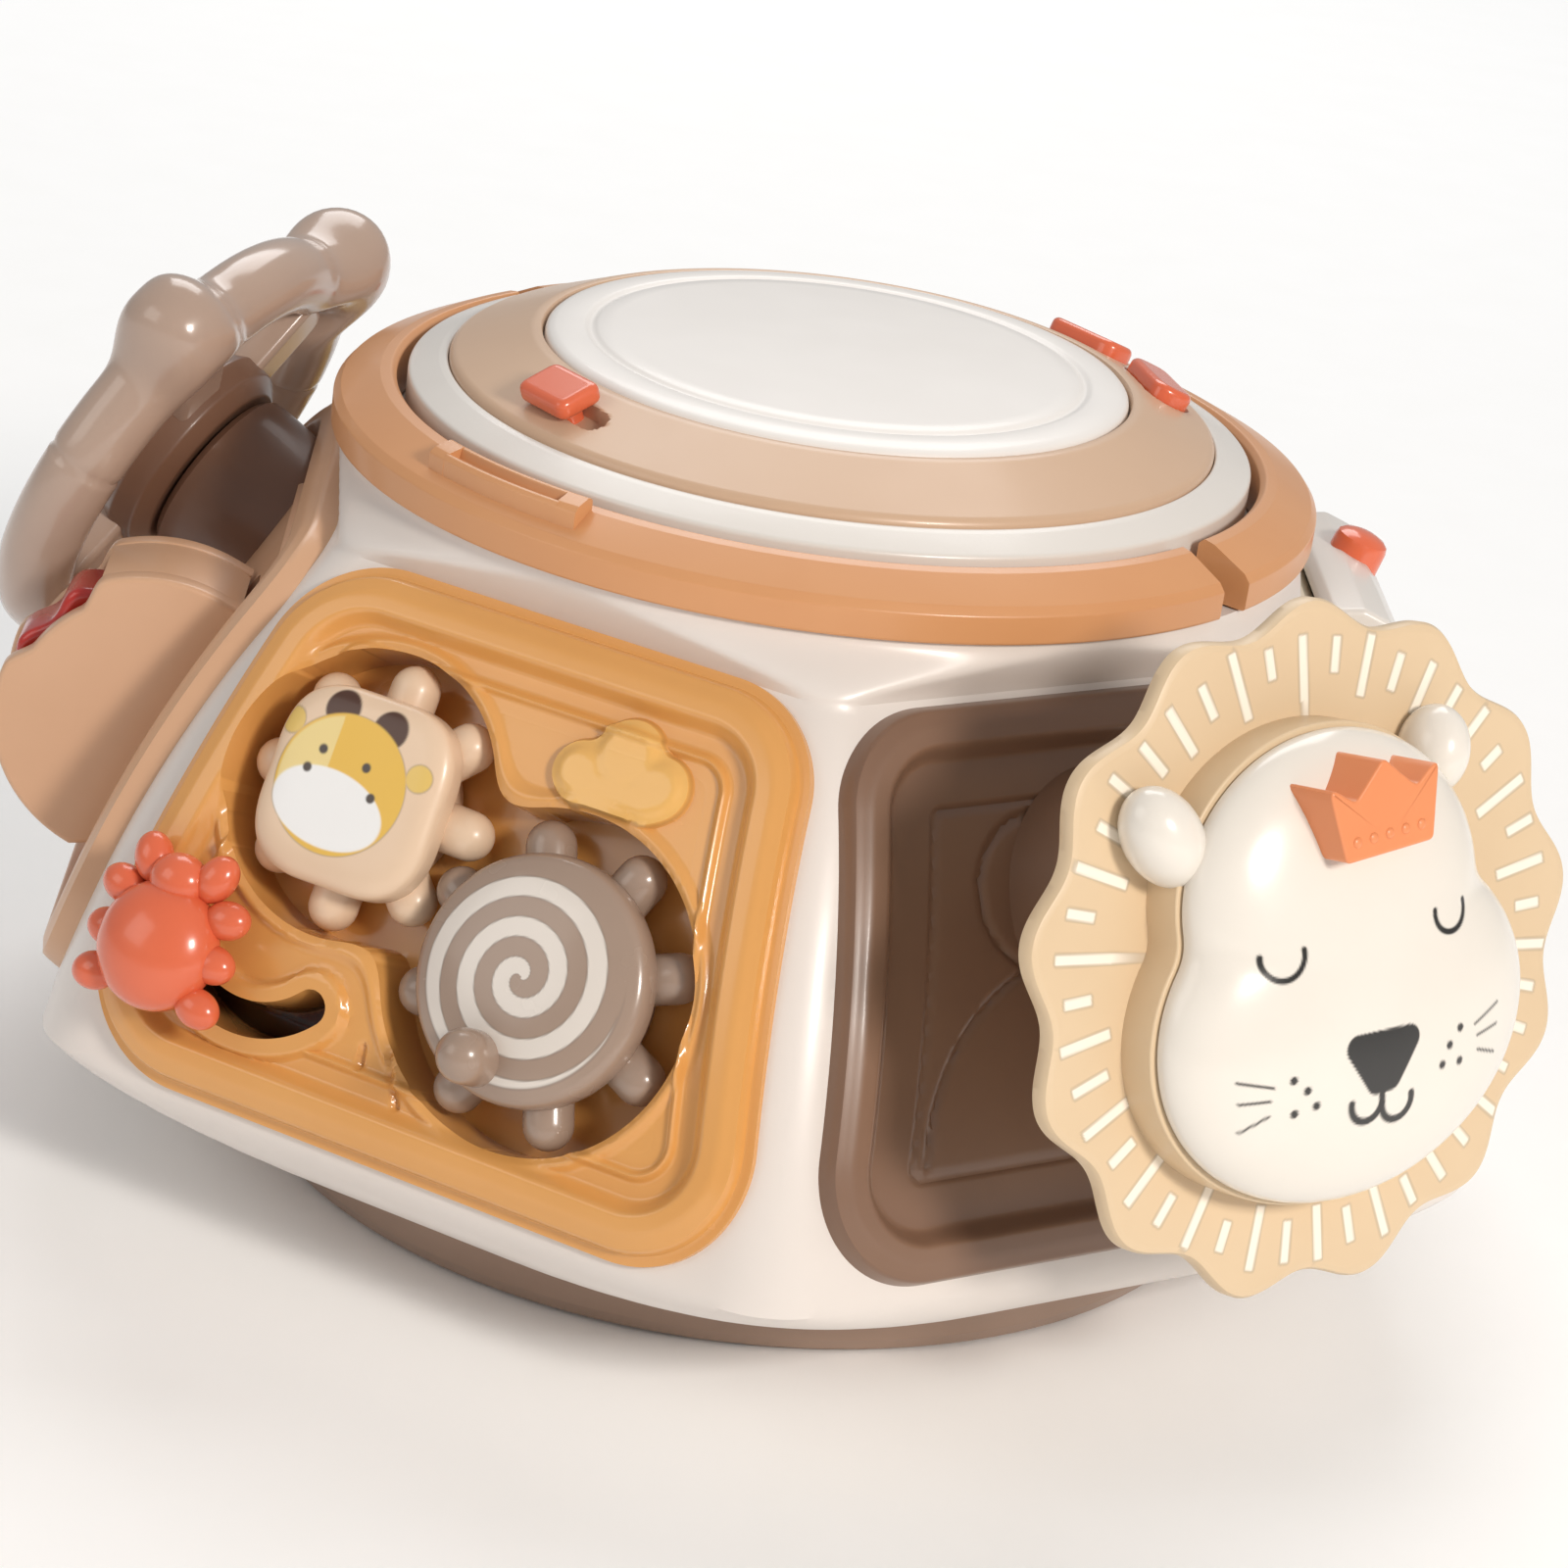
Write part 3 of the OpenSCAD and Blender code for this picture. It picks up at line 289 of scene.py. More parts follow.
def lathe(profile, ax=WORLD, steps=128, start=0.0, sweep=360.0, closed=True):
    """Profile of radius and height turned about the frame's third row; a partial turn gets end caps."""
    p = np.asarray(profile, float)
    full = sweep >= 360.0
    t = np.radians(start + sweep * np.arange(steps + (0 if full else 1)) / steps)
    faces = [quads(len(t), len(p), full, closed)]
    if not full:
        ends = np.arange(len(p))
        faces += [ends[None, ::-1], ends[None, :] + (len(t) - 1) * len(p)]
    return place(ax, spun(p, t).reshape(-1, 3)), faces


def pin(radius, low, high, ax, steps):
    """Plain round pin from low to high."""
    return lathe([(0, low), (radius, low), (radius, high), (0, high)], ax, steps, closed=False)


def loft(outline, rows, ax):
    """Closed outline scaled and lifted row by row; a row with scale 0 is a pole."""
    o, r = np.asarray(outline, float), np.asarray(rows, float)
    xy = o[None] * r[:, None, :1]
    pts = np.concatenate([xy, np.broadcast_to(r[:, None, 1:2], (len(r), len(o), 1))], -1)
    return place(ax, pts.reshape(-1, 3)), [quads(len(r), len(o), False, True)]


def extrude(outline, low, high, edge, ax, hub=None):
    """Outline drawn straight from low to high with edges rounded by a quarter circle of radius edge.

    With a hub given, both ends are fans about it, which suits notched outlines.
    """
    o = np.asarray(outline, float)
    a, b = o - np.roll(o, 1, 0), np.roll(o, -1, 0) - o
    n = sum(np.stack([e[:, 1], -e[:, 0]], -1) / np.maximum(np.linalg.norm(e, axis=1), 1e-9)[:, None]
            for e in (a, b))
    n /= np.maximum(np.linalg.norm(n, axis=1), 1e-9)[:, None]
    t = np.radians(np.linspace(0, 90, 6))
    flat = edge + 0.3
    inset = np.concatenate([[flat], edge * (1 - np.sin(t)), edge * (1 - np.cos(t)), [flat]])
    level = np.concatenate([[low], low + edge * (1 - np.cos(t)), high - edge * (1 - np.sin(t)), [high]])
    pts = np.concatenate([o[None] - n[None] * inset[:, None, None],
                          np.broadcast_to(level[:, None, None], (len(level), len(o), 1))], -1)
    pts, ends, last = pts.reshape(-1, 3), np.arange(len(o)), (len(level) - 1) * len(o)
    faces = [quads(len(level), len(o), False, True)]
    if hub is None:
        return place(ax, pts), [*faces, ends[None, ::-1], ends[None, :] + last]
    pts = np.concatenate([pts, [[*hub, low], [*hub, high]]])
    after, total = np.roll(ends, -1), len(level) * len(o)
    return place(ax, pts), [*faces, np.stack([after, ends, np.full_like(ends, total)], -1),
                            np.stack([ends + last, after + last, np.full_like(ends, total + 1)], -1)]


def ball(centre, radii, ax, turn=0.0, steps=48):
    """Ellipsoid with the given half axes, turned about the frame's third row."""
    a = np.radians(np.linspace(-90, 90, steps // 2 + 1))
    b = 2 * np.pi * np.arange(steps) / steps
    pts = np.stack([radii[0] * np.outer(np.cos(a), np.cos(b)),
                    radii[1] * np.outer(np.cos(a), np.sin(b)),
                    radii[2] * np.outer(np.sin(a), np.ones_like(b))], -1).reshape(-1, 3)
    return place(turned(moved(ax, *centre), turn), pts), [quads(len(a), steps, False, True)]


def tube(path, radius, ax, steps=20):
    """Round tube with half-ball ends along a path of local points: a circle square to the path at each point."""
    p = np.asarray(path, float)
    t = np.gradient(p, axis=0)
    t /= np.linalg.norm(t, axis=1)[:, None]
    cap = np.radians(np.arange(0, 90, 15))
    start = [(p[0] - t[0] * radius * math.cos(a), t[0], radius * math.sin(a)) for a in cap]
    end = [(p[-1] + t[-1] * radius * math.cos(a), t[-1], radius * math.sin(a)) for a in cap[::-1]]
    rings = start + [(q, d, radius) for q, d in zip(p, t)] + end
    c, d, w = (np.array([q[k] for q in rings], float) for k in range(3))
    side = np.cross(d, np.where(np.abs(d[:, 2:]) < 0.9, [[0.0, 0, 1]], [[1.0, 0, 0]]))
    side /= np.linalg.norm(side, axis=1)[:, None]
    up = np.cross(side, d)
    b = 2 * np.pi * np.arange(steps) / steps
    pts = (c[:, None] + w[:, None, None] * (np.cos(b)[None, :, None] * side[:, None] +
                                            np.sin(b)[None, :, None] * up[:, None]))
    return place(ax, pts.reshape(-1, 3)), [quads(len(c), steps, False, True)]


def new_object(name, data):
    """Object that shows the data, linked into the scene."""
    obj = bpy.data.objects.new(name, data)
    bpy.context.scene.collection.objects.link(obj)
    return obj


def piece(name, parts, body, nodes, material, prints=None, sharp=35.0):
    """Joins closed parts into one object that rides on a body and stands for CAD nodes."""
    verts = np.concatenate([v for v, _ in parts]) * 0.001
    ink = np.concatenate([(prints or {}).get(i, np.zeros((len(v), 4))) for i, (v, _) in enumerate(parts)])
    starts = np.cumsum([0] + [len(v) for v, _ in parts])
    sets = [np.asarray(f) + k for (_, fs), k in zip(parts, starts) for f in fs]
    used = np.unique(np.concatenate([f.ravel() for f in sets]))
    index = np.zeros(len(verts), int)
    index[used] = np.arange(len(used))
    me = bpy.data.meshes.new(name)
    me.from_pydata(verts[used].tolist(), [], [f for k in sets for f in index[k].tolist()])
    if prints is not None:
        layer = me.color_attributes.new("ink", "FLOAT_COLOR", "POINT")
        layer.data.foreach_set("color", ink[used].astype(np.float32).ravel())
    bm = bmesh.new()
    bm.from_mesh(me)
    bmesh.ops.remove_doubles(bm, verts=bm.verts, dist=2e-6)
    bmesh.ops.recalc_face_normals(bm, faces=bm.faces)
    bm.to_mesh(me)
    bm.free()
    me.shade_smooth()
    me.set_sharp_from_angle(angle=math.radians(sharp))
    me.materials.append(material)
    obj = new_object(name, me)
    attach(obj, body)
    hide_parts(*nodes)
    return obj


# Materials
def linear(code):
    """sRGB hex code to linear red, green, blue and alpha."""
    c = np.array([int(code[i:i + 2], 16) for i in (1, 3, 5)]) / 255
    c = np.where(c <= 0.04045, c / 12.92, ((c + 0.055) / 1.055) ** 2.4)
    return [*map(float, c), 1.0]


def add(tree, kind, inputs, **settings):
    """Adds a node with its settings; inputs are values or sockets to link from."""
    n = tree.nodes.new(kind)
    for key, value in settings.items():
        setattr(n, key, value)
    for key, value in inputs.items():
        if isinstance(value, bpy.types.NodeSocket):
            tree.links.new(value, n.inputs[key])
        else:
            n.inputs[key].default_value = value
    return n


def plastic(name, light, dark, rough, coat=0.15, printed=False, grain=0.0006):
    """Moulded plastic: two close tones in 25 mm drifts, a sheen that varies over 8 mm, and a mould grain.

    Real mould grain is finer than 0.1 mm; it is drawn at 0.6 mm so that it shows.
    """
    m = bpy.data.materials.new(name)
    m.use_nodes = True
    tree = m.node_tree
    tree.nodes.clear()
    spot = add(tree, "ShaderNodeTexCoord", {}).outputs["Object"]
    drift = add(tree, "ShaderNodeTexNoise", {"Vector": spot, "Scale": 1 / 0.025, "Detail": 3.0})
    tone = add(tree, "ShaderNodeMix", {0: drift.outputs["Fac"], 6: linear(dark), 7: linear(light)},
               data_type="RGBA")
    colour = tone.outputs[2]
    if printed:
        ink = add(tree, "ShaderNodeAttribute", {}, attribute_name="ink")
        over = add(tree, "ShaderNodeMix", {0: ink.outputs["Alpha"], 6: colour, 7: ink.outputs["Color"]},
                   data_type="RGBA")
        colour = over.outputs[2]
    sheen = add(tree, "ShaderNodeTexNoise", {"Vector": spot, "Scale": 1 / 0.008, "Detail": 2.0})
    gloss = add(tree, "ShaderNodeMapRange", {"Value": sheen.outputs["Fac"],
                                             "To Min": rough - 0.05, "To Max": rough + 0.05})
    speck = add(tree, "ShaderNodeTexNoise", {"Vector": spot, "Scale": 1 / grain, "Detail": 1.0})
    bump = add(tree, "ShaderNodeBump", {"Height": speck.outputs["Fac"],
                                        "Strength": 0.05, "Distance": 0.0001})
    shader = add(tree, "ShaderNodeBsdfPrincipled", {
        "Base Color": colour, "Roughness": gloss.outputs["Result"], "Normal": bump.outputs["Normal"],
        "Coat Weight": coat, "Coat Roughness": 0.12, "IOR": 1.5})
    add(tree, "ShaderNodeOutputMaterial", {"Surface": shader.outputs["BSDF"]})
    return m


def metal(name, light, dark, rough):
    """Drawn steel: the plastic's drifts in two greys, with a finer grain and the shader's metallic value at 1."""
    m = plastic(name, light, dark, rough, coat=0.0, grain=0.0003)
    m.node_tree.nodes["Principled BSDF"].inputs["Metallic"].default_value = 1.0
    return m


# Semi-gloss moulded ABS of the body, the rings, most panels and the cow gear: a soft-edged highlight
cream = plastic("moulded_ABS_cream", "#E4DCD6", "#DDD4CD", 0.34)
taupe = plastic("moulded_ABS_taupe", "#A38876", "#967B6A", 0.38)
white = plastic("moulded_ABS_white", "#E0DBD5", "#D9D3CC", 0.32)
sand = plastic("moulded_ABS_sand", "#D0B093", "#C8A689", 0.36)
orange = plastic("moulded_ABS_terracotta", "#D59B6A", "#CD9060", 0.36)
brown = plastic("moulded_ABS_brown", "#83644F", "#775845", 0.36)
tan = plastic("moulded_ABS_tan", "#D3A988", "#CA9F7D", 0.36)
# Brown of the steering column and hub: a brown of its own, made darker as painted shade of the wheel's shadowed
# underside
hub_brown_painted_shade = plastic("moulded_ABS_cocoa", "#7D5C49", "#71513F", 0.4)
pale = plastic("moulded_ABS_pale", "#EBE1CD", "#E4D8C1", 0.34)
wheat = plastic("moulded_ABS_wheat", "#E8C690", "#E0BB82", 0.36)
stone = plastic("moulded_ABS_stone", "#BCA691", "#B19A84", 0.36)
pink = plastic("moulded_ABS_blush", "#E7CCB0", "#DEC0A3", 0.34, printed=True)
# Polished moulded ABS of the gear panel, knobs, buttons and wheels: small bright highlights, flat prints
amber = plastic("moulded_ABS_amber", "#E0A45E", "#D79952", 0.25, 0.4, True)
coral = plastic("moulded_ABS_coral", "#E2704B", "#D9613D", 0.24, 0.4)
greige = plastic("moulded_ABS_greige", "#A48E7E", "#988171", 0.26, 0.35, True)
ivory = plastic("moulded_ABS_ivory", "#E6E0D7", "#DFD8CE", 0.24, 0.4, True)
wheel_plastic = plastic("moulded_ABS_wheel", "#B9A191", "#AD9484", 0.22, 0.5)
red = plastic("moulded_ABS_red", "#BC2A1E", "#AE2118", 0.24, 0.4)
honey = plastic("moulded_ABS_honey", "#E7BA50", "#DFAF43", 0.28, 0.3)
# Matt moulded ABS and PP of the drum skin, the mane, the crown and the inside: broad, dull highlights
drum = plastic("moulded_PP_drum_skin", "#EFEBE7", "#E8E3DE", 0.4)
mane = plastic("moulded_ABS_mane", "#DBC3A2", "#D3B996", 0.42, 0.05, True)
crown = plastic("moulded_ABS_crown", "#E5905F", "#DC8453", 0.4)
inner = plastic("plain_PP_inner", "#635850", "#574C45", 0.55, 0.0)
# Rubber swallows light, the cell sleeve and the lacquered board shine a little, drawn steel mirrors
rubber = plastic("soft_rubber", "#4D4947", "#423E3C", 0.75, 0.0)
sleeve = plastic("printed_cell_sleeve", "#426F53", "#37614A", 0.35)
board = plastic("solder_mask_board", "#326E48", "#28603D", 0.4)
steel = metal("drawn_steel", "#C4C7CA", "#ADB0B4", 0.3)

# Nodes that keep their CAD mesh
CARRIED = (
    (steel, ("base_screws", "handle_pins", "gear_axles", "click_axle", "key_rod", "roller_axle", "clock_pin")),
    (rubber, ("rubber_feet", "drum_cushion")),
    (inner, ("battery_box", "speaker")),
    (sleeve, ("batteries",)),
    (board, ("circuit_board",)),
    (white, ("drum_tray",)),
    (taupe, ("battery_door", "base_pan")),
    (brown, ("lion_post",)),
)
for material, nodes in CARRIED:
    for node in nodes:
        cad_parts[node].data.materials[0] = material


def stamp(ink, cover, code):
    """Lays a print colour where cover is 1, over what is there."""
    cover = np.clip(cover, 0, 1)
    share = cover[..., None]
    ink[..., :3] = np.array(linear(code))[:3] * share + ink[..., :3] * (1 - share)
    ink[..., 3] = np.maximum(ink[..., 3], cover)


# Body shell
def body_radius(t, a, r):
    """Rounded hexagon: a over cosine along a side, then the corner arc of radius r."""
    t = np.abs((t + 30) % 60 - 30)
    c = (a - r) / math.cos(math.radians(30))
    k = np.radians(30 - t)
    arc = c * np.cos(k) + np.sqrt(np.maximum(r * r - (c * np.sin(k)) ** 2, 0))
    flat = a * np.tan(np.radians(t)) <= (a - r) * math.tan(math.radians(30))
    return np.where(flat, a / np.cos(np.radians(t)), arc)


def face_point(y):
    """Distance from the axis and height at y up the bulged face."""
    t = math.radians(LEAN)
    return (REACH - y * math.sin(t) + sag(y) * math.cos(t),
            HEIGHT + y * math.cos(t) + sag(y) * math.sin(t))


def shell():
    """Bowl, bulged faces and shoulder as rows of rounded hexagons, doubled by an inner skin; panels leave windows."""
    s = np.linspace(-1, 1, FACE_COLUMNS + 1)[:-1]
    t = np.concatenate([60 * k + 30 * np.sin(np.radians(90 * s)) for k in range(6)])
    y = np.linspace(FACE_BOTTOM, FACE_TOP, FACE_ROWS)
    q = np.linspace(0, 1, BLEND_ROWS)
    a1, z1 = face_point(FACE_BOTTOM)
    a2, z2 = face_point(FACE_TOP)
    foot, near_round = RIDGE + RIDGE_SOFT, 1.5
    skins = []
    for inset, lift in ((0.0, 0.0), (WALL / math.cos(math.radians(LEAN)), WALL)):
        bowl = np.stack([RIM_RADIUS + (a1 - inset - RIM_RADIUS) * np.sin(np.radians(90 * q)),
                         foot + (RIM_RADIUS - near_round - foot) * np.cos(np.radians(90 * q)),
                         BASE_HEIGHT + lift + (z1 - BASE_HEIGHT - lift) * q], -1)[:-1]
        fa, fz = face_point(y)
        side = np.stack([fa - inset, RIDGE + np.where(y < 0, RIDGE_SOFT * (y / FACE_BOTTOM) ** 2, 0), fz], -1)
        e = q * q * (3 - 2 * q)
        top = TOP_RADIUS - inset
        shoulder = np.stack([a2 - inset + (top - a2 + inset) * e, RIDGE + (top - near_round - RIDGE) * e,
                             z2 + (BODY_TOP - lift - z2) * q], -1)[1:]
        lower = [[UNDER_RADIUS, UNDER_RADIUS - near_round, BASE_HEIGHT + lift]]
        upper = [[MOUTH_RADIUS, MOUTH_RADIUS - near_round, BODY_TOP - lift]]
        rows = np.concatenate([lower, bowl, side, shoulder, upper])
        r = body_radius(t[None], rows[:, :1], rows[:, 1:2])
        skins.append(np.stack([r * np.cos(np.radians(t)), r * np.sin(np.radians(t)),
                               np.broadcast_to(rows[:, 2:], r.shape)], -1))
    count, columns = skins[0].shape[:2]
    middle_y = np.full(count - 1, 2 * FACE_TOP)
    middle_y[BLEND_ROWS:BLEND_ROWS + FACE_ROWS - 1] = (y[1:] + y[:-1]) / 2
    away = (t + np.roll(t, -1)) / 2
    away[-1] = (t[-1] + t[0] + 360) / 2
    off = (away + 30) % 60 - 30
    across = face_point(middle_y)[0][:, None] * np.tan(np.radians(off))[None]
    depth = panel_depth(across, np.broadcast_to(middle_y[:, None], (count - 1, columns)))
    return two_skins(*skins, depth < WINDOW_EDGE, True)


piece("body_shell", [shell()], "housing", ["main_shell"], cream, sharp=40)


# Panels
def panel(name, side, material, shape, step, edges=(), extra=(), rib=1.2):
    """Rounded frame that rises out of the body, an inner step, a thin bead and the floor that shape changes.

    The height is a sum of smooth steps of the depth into the outline. The frame is worked out on rows that follow the
    outline, the floor on a square grid; they pass through each other with a few hundredths of a millimetre to spare.
    """
    # Depths of the rows over the wall, the crest, the step, the ledge, the bead and the inside
    bands = ((-1.2, 1.4, 9), (1.8, 6.0, 8), (6.3, 9.7, 12), (10.2, 11.4, 4), (11.6, 14.4, 12), (14.8, SEAM, 6))
    ring = panel_rows(np.concatenate([np.linspace(*band) for band in bands]), step)
    square = np.meshgrid(*(np.arange(-half, half + step, step) for half in (GRID_WIDE, GRID_HIGH)))
    parts, prints = [], {}
    for x, y, wrap in ((ring[..., 0], ring[..., 1], True), (*square, False)):
        for field, marks in edges:
            x, y = snapped(x, y, field, marks, step)
        d = panel_depth(x, y)
        h = FRAME_FOOT + (CREST - FRAME_SHOULDER - FRAME_FOOT) * ramp(d, -0.9, 1.2)
        h += FRAME_SHOULDER * ramp(d, 0.9, 4.0)
        h -= (CREST - FLOOR) * ramp(d, FRAME_WIDTH - FRAME_STEP, FRAME_WIDTH)
        h += rib * bead(d, RIB_AT, RIB_HALF)
        ink = np.zeros((*x.shape, 4))
        h = shape(x, y, d, h, ink)
        h = h - (0.08 * ramp(d, SEAM - 0.8, SEAM) if wrap else 0.04 * (1 - ramp(d, SEAM - 1.4, SEAM)))
        front = np.stack([x, y, h + sag(y)], -1)
        low = np.minimum(d[1:], d[:-1])
        keep = np.ones(low.shape, bool) if wrap else np.minimum(low[:, 1:], low[:, :-1]) > SEAM - SEAM_LAP
        pts, faces = two_skins(front, front - [0, 0, SKIN], keep, wrap, h)
        prints[len(parts)] = np.concatenate([ink.reshape(-1, 4)] * 2)
        parts.append((place(FACE[side], pts), faces))
    return piece(name, [*parts, *extra], "housing", [side + "_panel"], material, prints, 42)


def pocket_edge(x, y):
    """Distance to the figure-of-eight pocket: two discs blended into each other."""
    return smooth_min(disc(x, y, COW, COW_POCKET), disc(x, y, SNAIL, SNAIL_POCKET), POCKET_BLEND)


def cloud_edge(x, y):
    """Distance to the cloud: three discs and a rounded bar blended together."""
    left = smooth_min(disc(x, y, (12.5, 25), 5.2), disc(x, y, (19.5, 29.5), 6.4), 2.0)
    right = smooth_min(disc(x, y, (26.5, 26), 5.6), round_box(x, y, (19.5, 23.4), 9, 3.8, 3.6), 2.0)
    return smooth_min(left, right, 1.5)


def slot_line(x, y):
    """Distance to the middle line of the knob's arc slot."""
    return arc_line(x, y, ARC, ARC_RADIUS, KNOB_START, KNOB_SWING)


def gear_shape(x, y, d, h, ink):
    """Pocket, raised loop with an arc slot inked near-black as painted shade, cloud and grass strokes."""
    eight, slot, cloud = pocket_edge(x, y), slot_line(x, y), cloud_edge(x, y)
    h = h + 0.9 * bead(eight, 1.6, 1.5) * ramp(d, 7.0, 10.0)
    floor = np.maximum(h, FLOOR + 1.7 * (1 - ramp(slot, 5.6, 6.8)))
    floor = floor + 1.3 * ramp(-cloud, -0.3, 0.3) + 1.0 * ramp(-cloud, 0.3, 2.6)
    for a, b in (((-8.8, -32.4), (-9.2, -29.0)), ((-4.0, -28.6), (-0.6, -36.4))):
        floor = floor - 1.0 * (1 - ramp(capsule_line(x, y, a, b), 0.2, 0.9))
    stamp(ink, ramp(-cloud, -0.3, 0.3), "#E6B264")
    # Near-black in the arc slot is painted shade of its dark inside
    stamp(ink, 1 - ramp(slot, 2.2, 2.9), "#1B120C")
    out = floor + (POCKET - floor) * ramp(-eight, -0.3, 0.3)
    return out + (SLOT_DEPTH - out) * (1 - ramp(slot, 2.4, 3.0))


def lion_shape(x, y, d, h, ink):
    """Flat floor with shallow engraved arcs and an inset line."""
    strokes = (((-8, -30), 34.0, 95.0, 80.0), ((-14, 14), 13.0, 60.0, 240.0), ((22, 4), 17.0, 100.0, 200.0))
    for middle, radius, start, sweep in strokes:
        h = h - 0.7 * (1 - ramp(arc_line(x, y, middle, radius, start, sweep), 0.15, 0.9))
    return h - 0.5 * (1 - ramp(np.abs(d - 17.0), 0.15, 0.8))


def clock_shape(x, y, d, h, ink):
    """Raised dial with a rim and twelve sunk hour marks."""
    r = np.hypot(x, y)
    h = h + (DIAL_LEVEL - FLOOR - sag(y)) * ramp(DIAL_RADIUS - r, -0.5, 0.9) + 0.5 * bead(r, DIAL_RIM, 1.2)
    for i in range(12):
        mark = disc(x, y, polar(HOUR_RADIUS, 30 * i), 2.2 if i % 3 == 0 else 1.3)
        h = h - 0.9 * ramp(-mark, -0.5, 0.6)
    return h


def well_panel(name, side, material, box, depth, extra=(), lip=0.0):
    """Panel with a rounded well: inside the box the floor drops to depth by a smooth step, with a soft lip round it."""
    def edge(x, y):
        """Distance to the well."""
        return round_box(x, y, *box)

    def shape(x, y, d, h, ink):
        """Floor with the well in it."""
        well = edge(x, y)
        return h + lip * bead(well, 2.0, 2.0) + (depth - h) * ramp(-well, -0.4, 0.4)

    return panel(name, side, material, shape, 0.9, [(edge, (0.4, -0.4))], extra)


gear, wheel_face, piano, clock, rollers = (FACE[k] for k in ("gear", "wheel", "piano", "clock", "roller"))


def rect(w, h):
    """Corners of a rectangle about the middle."""
    return [(-w / 2, -h / 2), (w / 2, -h / 2), (w / 2, h / 2), (-w / 2, h / 2)]


def console():
    """Two half-round cheeks that dip by smooth steps where the click wheel shows, and a short arc of cover."""
    turn = np.linspace(0, 180, 91)
    reach = CHEEK_RADIUS + UPPER_RISE * (1 - ramp(turn, 44, 58)) + LOWER_RISE * ramp(turn, 84, 98)
    outline = np.concatenate([[(-28, 0.6), (23.6, 0.6)], polar(reach, turn, CONSOLE)])
    arc = np.linspace(COVER_START, COVER_END, 40)
    cover = np.concatenate([polar(27.4, arc, CONSOLE), polar(26.2, arc[::-1], CONSOLE)])
    cheeks = [extrude(outline, u, u + 4.4, 1.0, along_x(wheel_face)) for u in (11.0, 29.6)]
    return [*cheeks, extrude(cover, 14.6, 30.4, 0.2, along_x(wheel_face))]


end_line = rounded([(-12, -2), (12, -2), (12, 12), (-12, 12)], 4.0)
ends = [extrude(end_line, u, u + 3.4, 0.6, along_x(rollers)) for u in (-40.0, 36.6)]
panel("gear_plate", "gear", amber, gear_shape, 0.65,
      [(pocket_edge, (0.3, -0.3)), (slot_line, (3.0, 2.4)), (cloud_edge, (0.3, -0.3))])
panel("lion_plate", "lion", brown, lion_shape, 0.9, rib=0.0)
well_panel("wheel_plate", "wheel", tan, ((22.5, -4), 6.6, 29.0, 2.0), CLICK_DEPTH, console())
well_panel("piano_plate", "piano", pale, ((0, -5.5), 38.0, 28.5, 2.5), KEY_DEPTH)
panel("clock_plate", "clock", wheat, clock_shape, 0.85)
well_panel("roller_plate", "roller", stone, ((0, 0), 36.6, 18.0, 3.0), ROLLER_DEPTH, ends, 0.8)


# Rings and drum
def deck():
    """Sloped ring turned about the axis; the slot and the button seats sink its top along the slope's normal."""
    t = np.radians(np.arange(720) / 2)
    slope = np.linspace(0, 1, 46)[:, None]
    top = (1 - slope) * np.array([[54.6, 148.0]]) + slope * np.array([[67.2, 142.9]])
    p = np.concatenate([[[52.4, 144.4], [52.4, 147.6], [52.7, 148.2], [53.4, 148.4]], top,
                        [[67.9, 142.4], [68.2, 141.6], [68.2, 128.0], [65.0, 128.0], [65.0, 138.0], [55.5, 144.4]]])
    pts = spun(p, t)
    sunk = np.zeros(pts.shape[:2])
    on_top = (np.arange(len(p)) >= 4) & (np.arange(len(p)) < 4 + len(slope))
    seats = ((SWITCH_TURN, (0, SWITCH_TRAVEL / 2), 2.5, 7.5), (SONG_TURN, (0, 0), 4.5, 9.5),
             (VOLUME_TURN, (0, 0), 4.5, 9.5))
    for turn, c, half_x, half_y in seats:
        ax = deck_axes(turn)
        q = (pts - ax[0]) @ ax[1].T
        hole = round_box(q[..., 0], q[..., 1], c, half_x, half_y, min(half_x, 4.3))
        sunk += np.where((q[..., 2] > -6) & on_top, ramp(-hole, -0.25, 0.35), 0)
    slope_normal = math.radians(DECK_SLOPE)
    down = np.stack([np.cos(t) * math.sin(slope_normal), np.sin(t) * math.sin(slope_normal),
                     np.full(len(t), math.cos(slope_normal))], -1)
    pts = pts - SEAT_DEPTH * sunk[..., None] * down[:, None]
    return pts.reshape(-1, 3), [quads(len(t), len(p), True, True)]


ring = rounded([(77, 128.4), (87.8, 128.4), (87.8, 133.4), (86.6, 134.8), (80, 138), (78, 138.4), (77, 137.4)], 0.7, 5)
bar = [(79.4, 134.6), (84.6, 132.6), (84.6, 138.6), (83.6, 139.5), (80.6, 140.4), (79.4, 139.8)]
dip = [(79.45, 134.6), (84.55, 132.6), (84.55, 138.6), (84.0, 139.3), (83.4, 139.5),
       (82.9, 137.9), (81.4, 138.5), (81.0, 140.2), (80.3, 140.3), (79.45, 139.7)]
collar = rounded([(68.35, 128), (75.2, 128), (75.2, 139.0), (70, 141.1), (68.35, 141.6)], 1.0, 5)
piece("deck_top", [deck()], "housing", ["deck_ring"], sand)
piece("collar", [lathe(collar, steps=240)], "housing", ["top_ring"], white)
bars = [lathe(rounded(bar, 0.8, 5), steps=8, start=HINGE_TURN + turn, sweep=2.8) for turn in (78, 98.2)]
piece("trim_ring", [lathe(ring, steps=160, start=HINGE_TURN - 175, sweep=170)], "housing", ["ring_trim"], orange)
piece("handle_ring", [lathe(ring, steps=170, start=HINGE_TURN, sweep=180), *bars,
                      lathe(rounded(dip, 0.35, 5), steps=40, start=HINGE_TURN + 80.6, sweep=17.8)],
      "handle", ["carry_handle"], orange)
skin = [(r, 150.6 - (r / 43) ** 2) for r in np.linspace(0, 42.6, 16)]
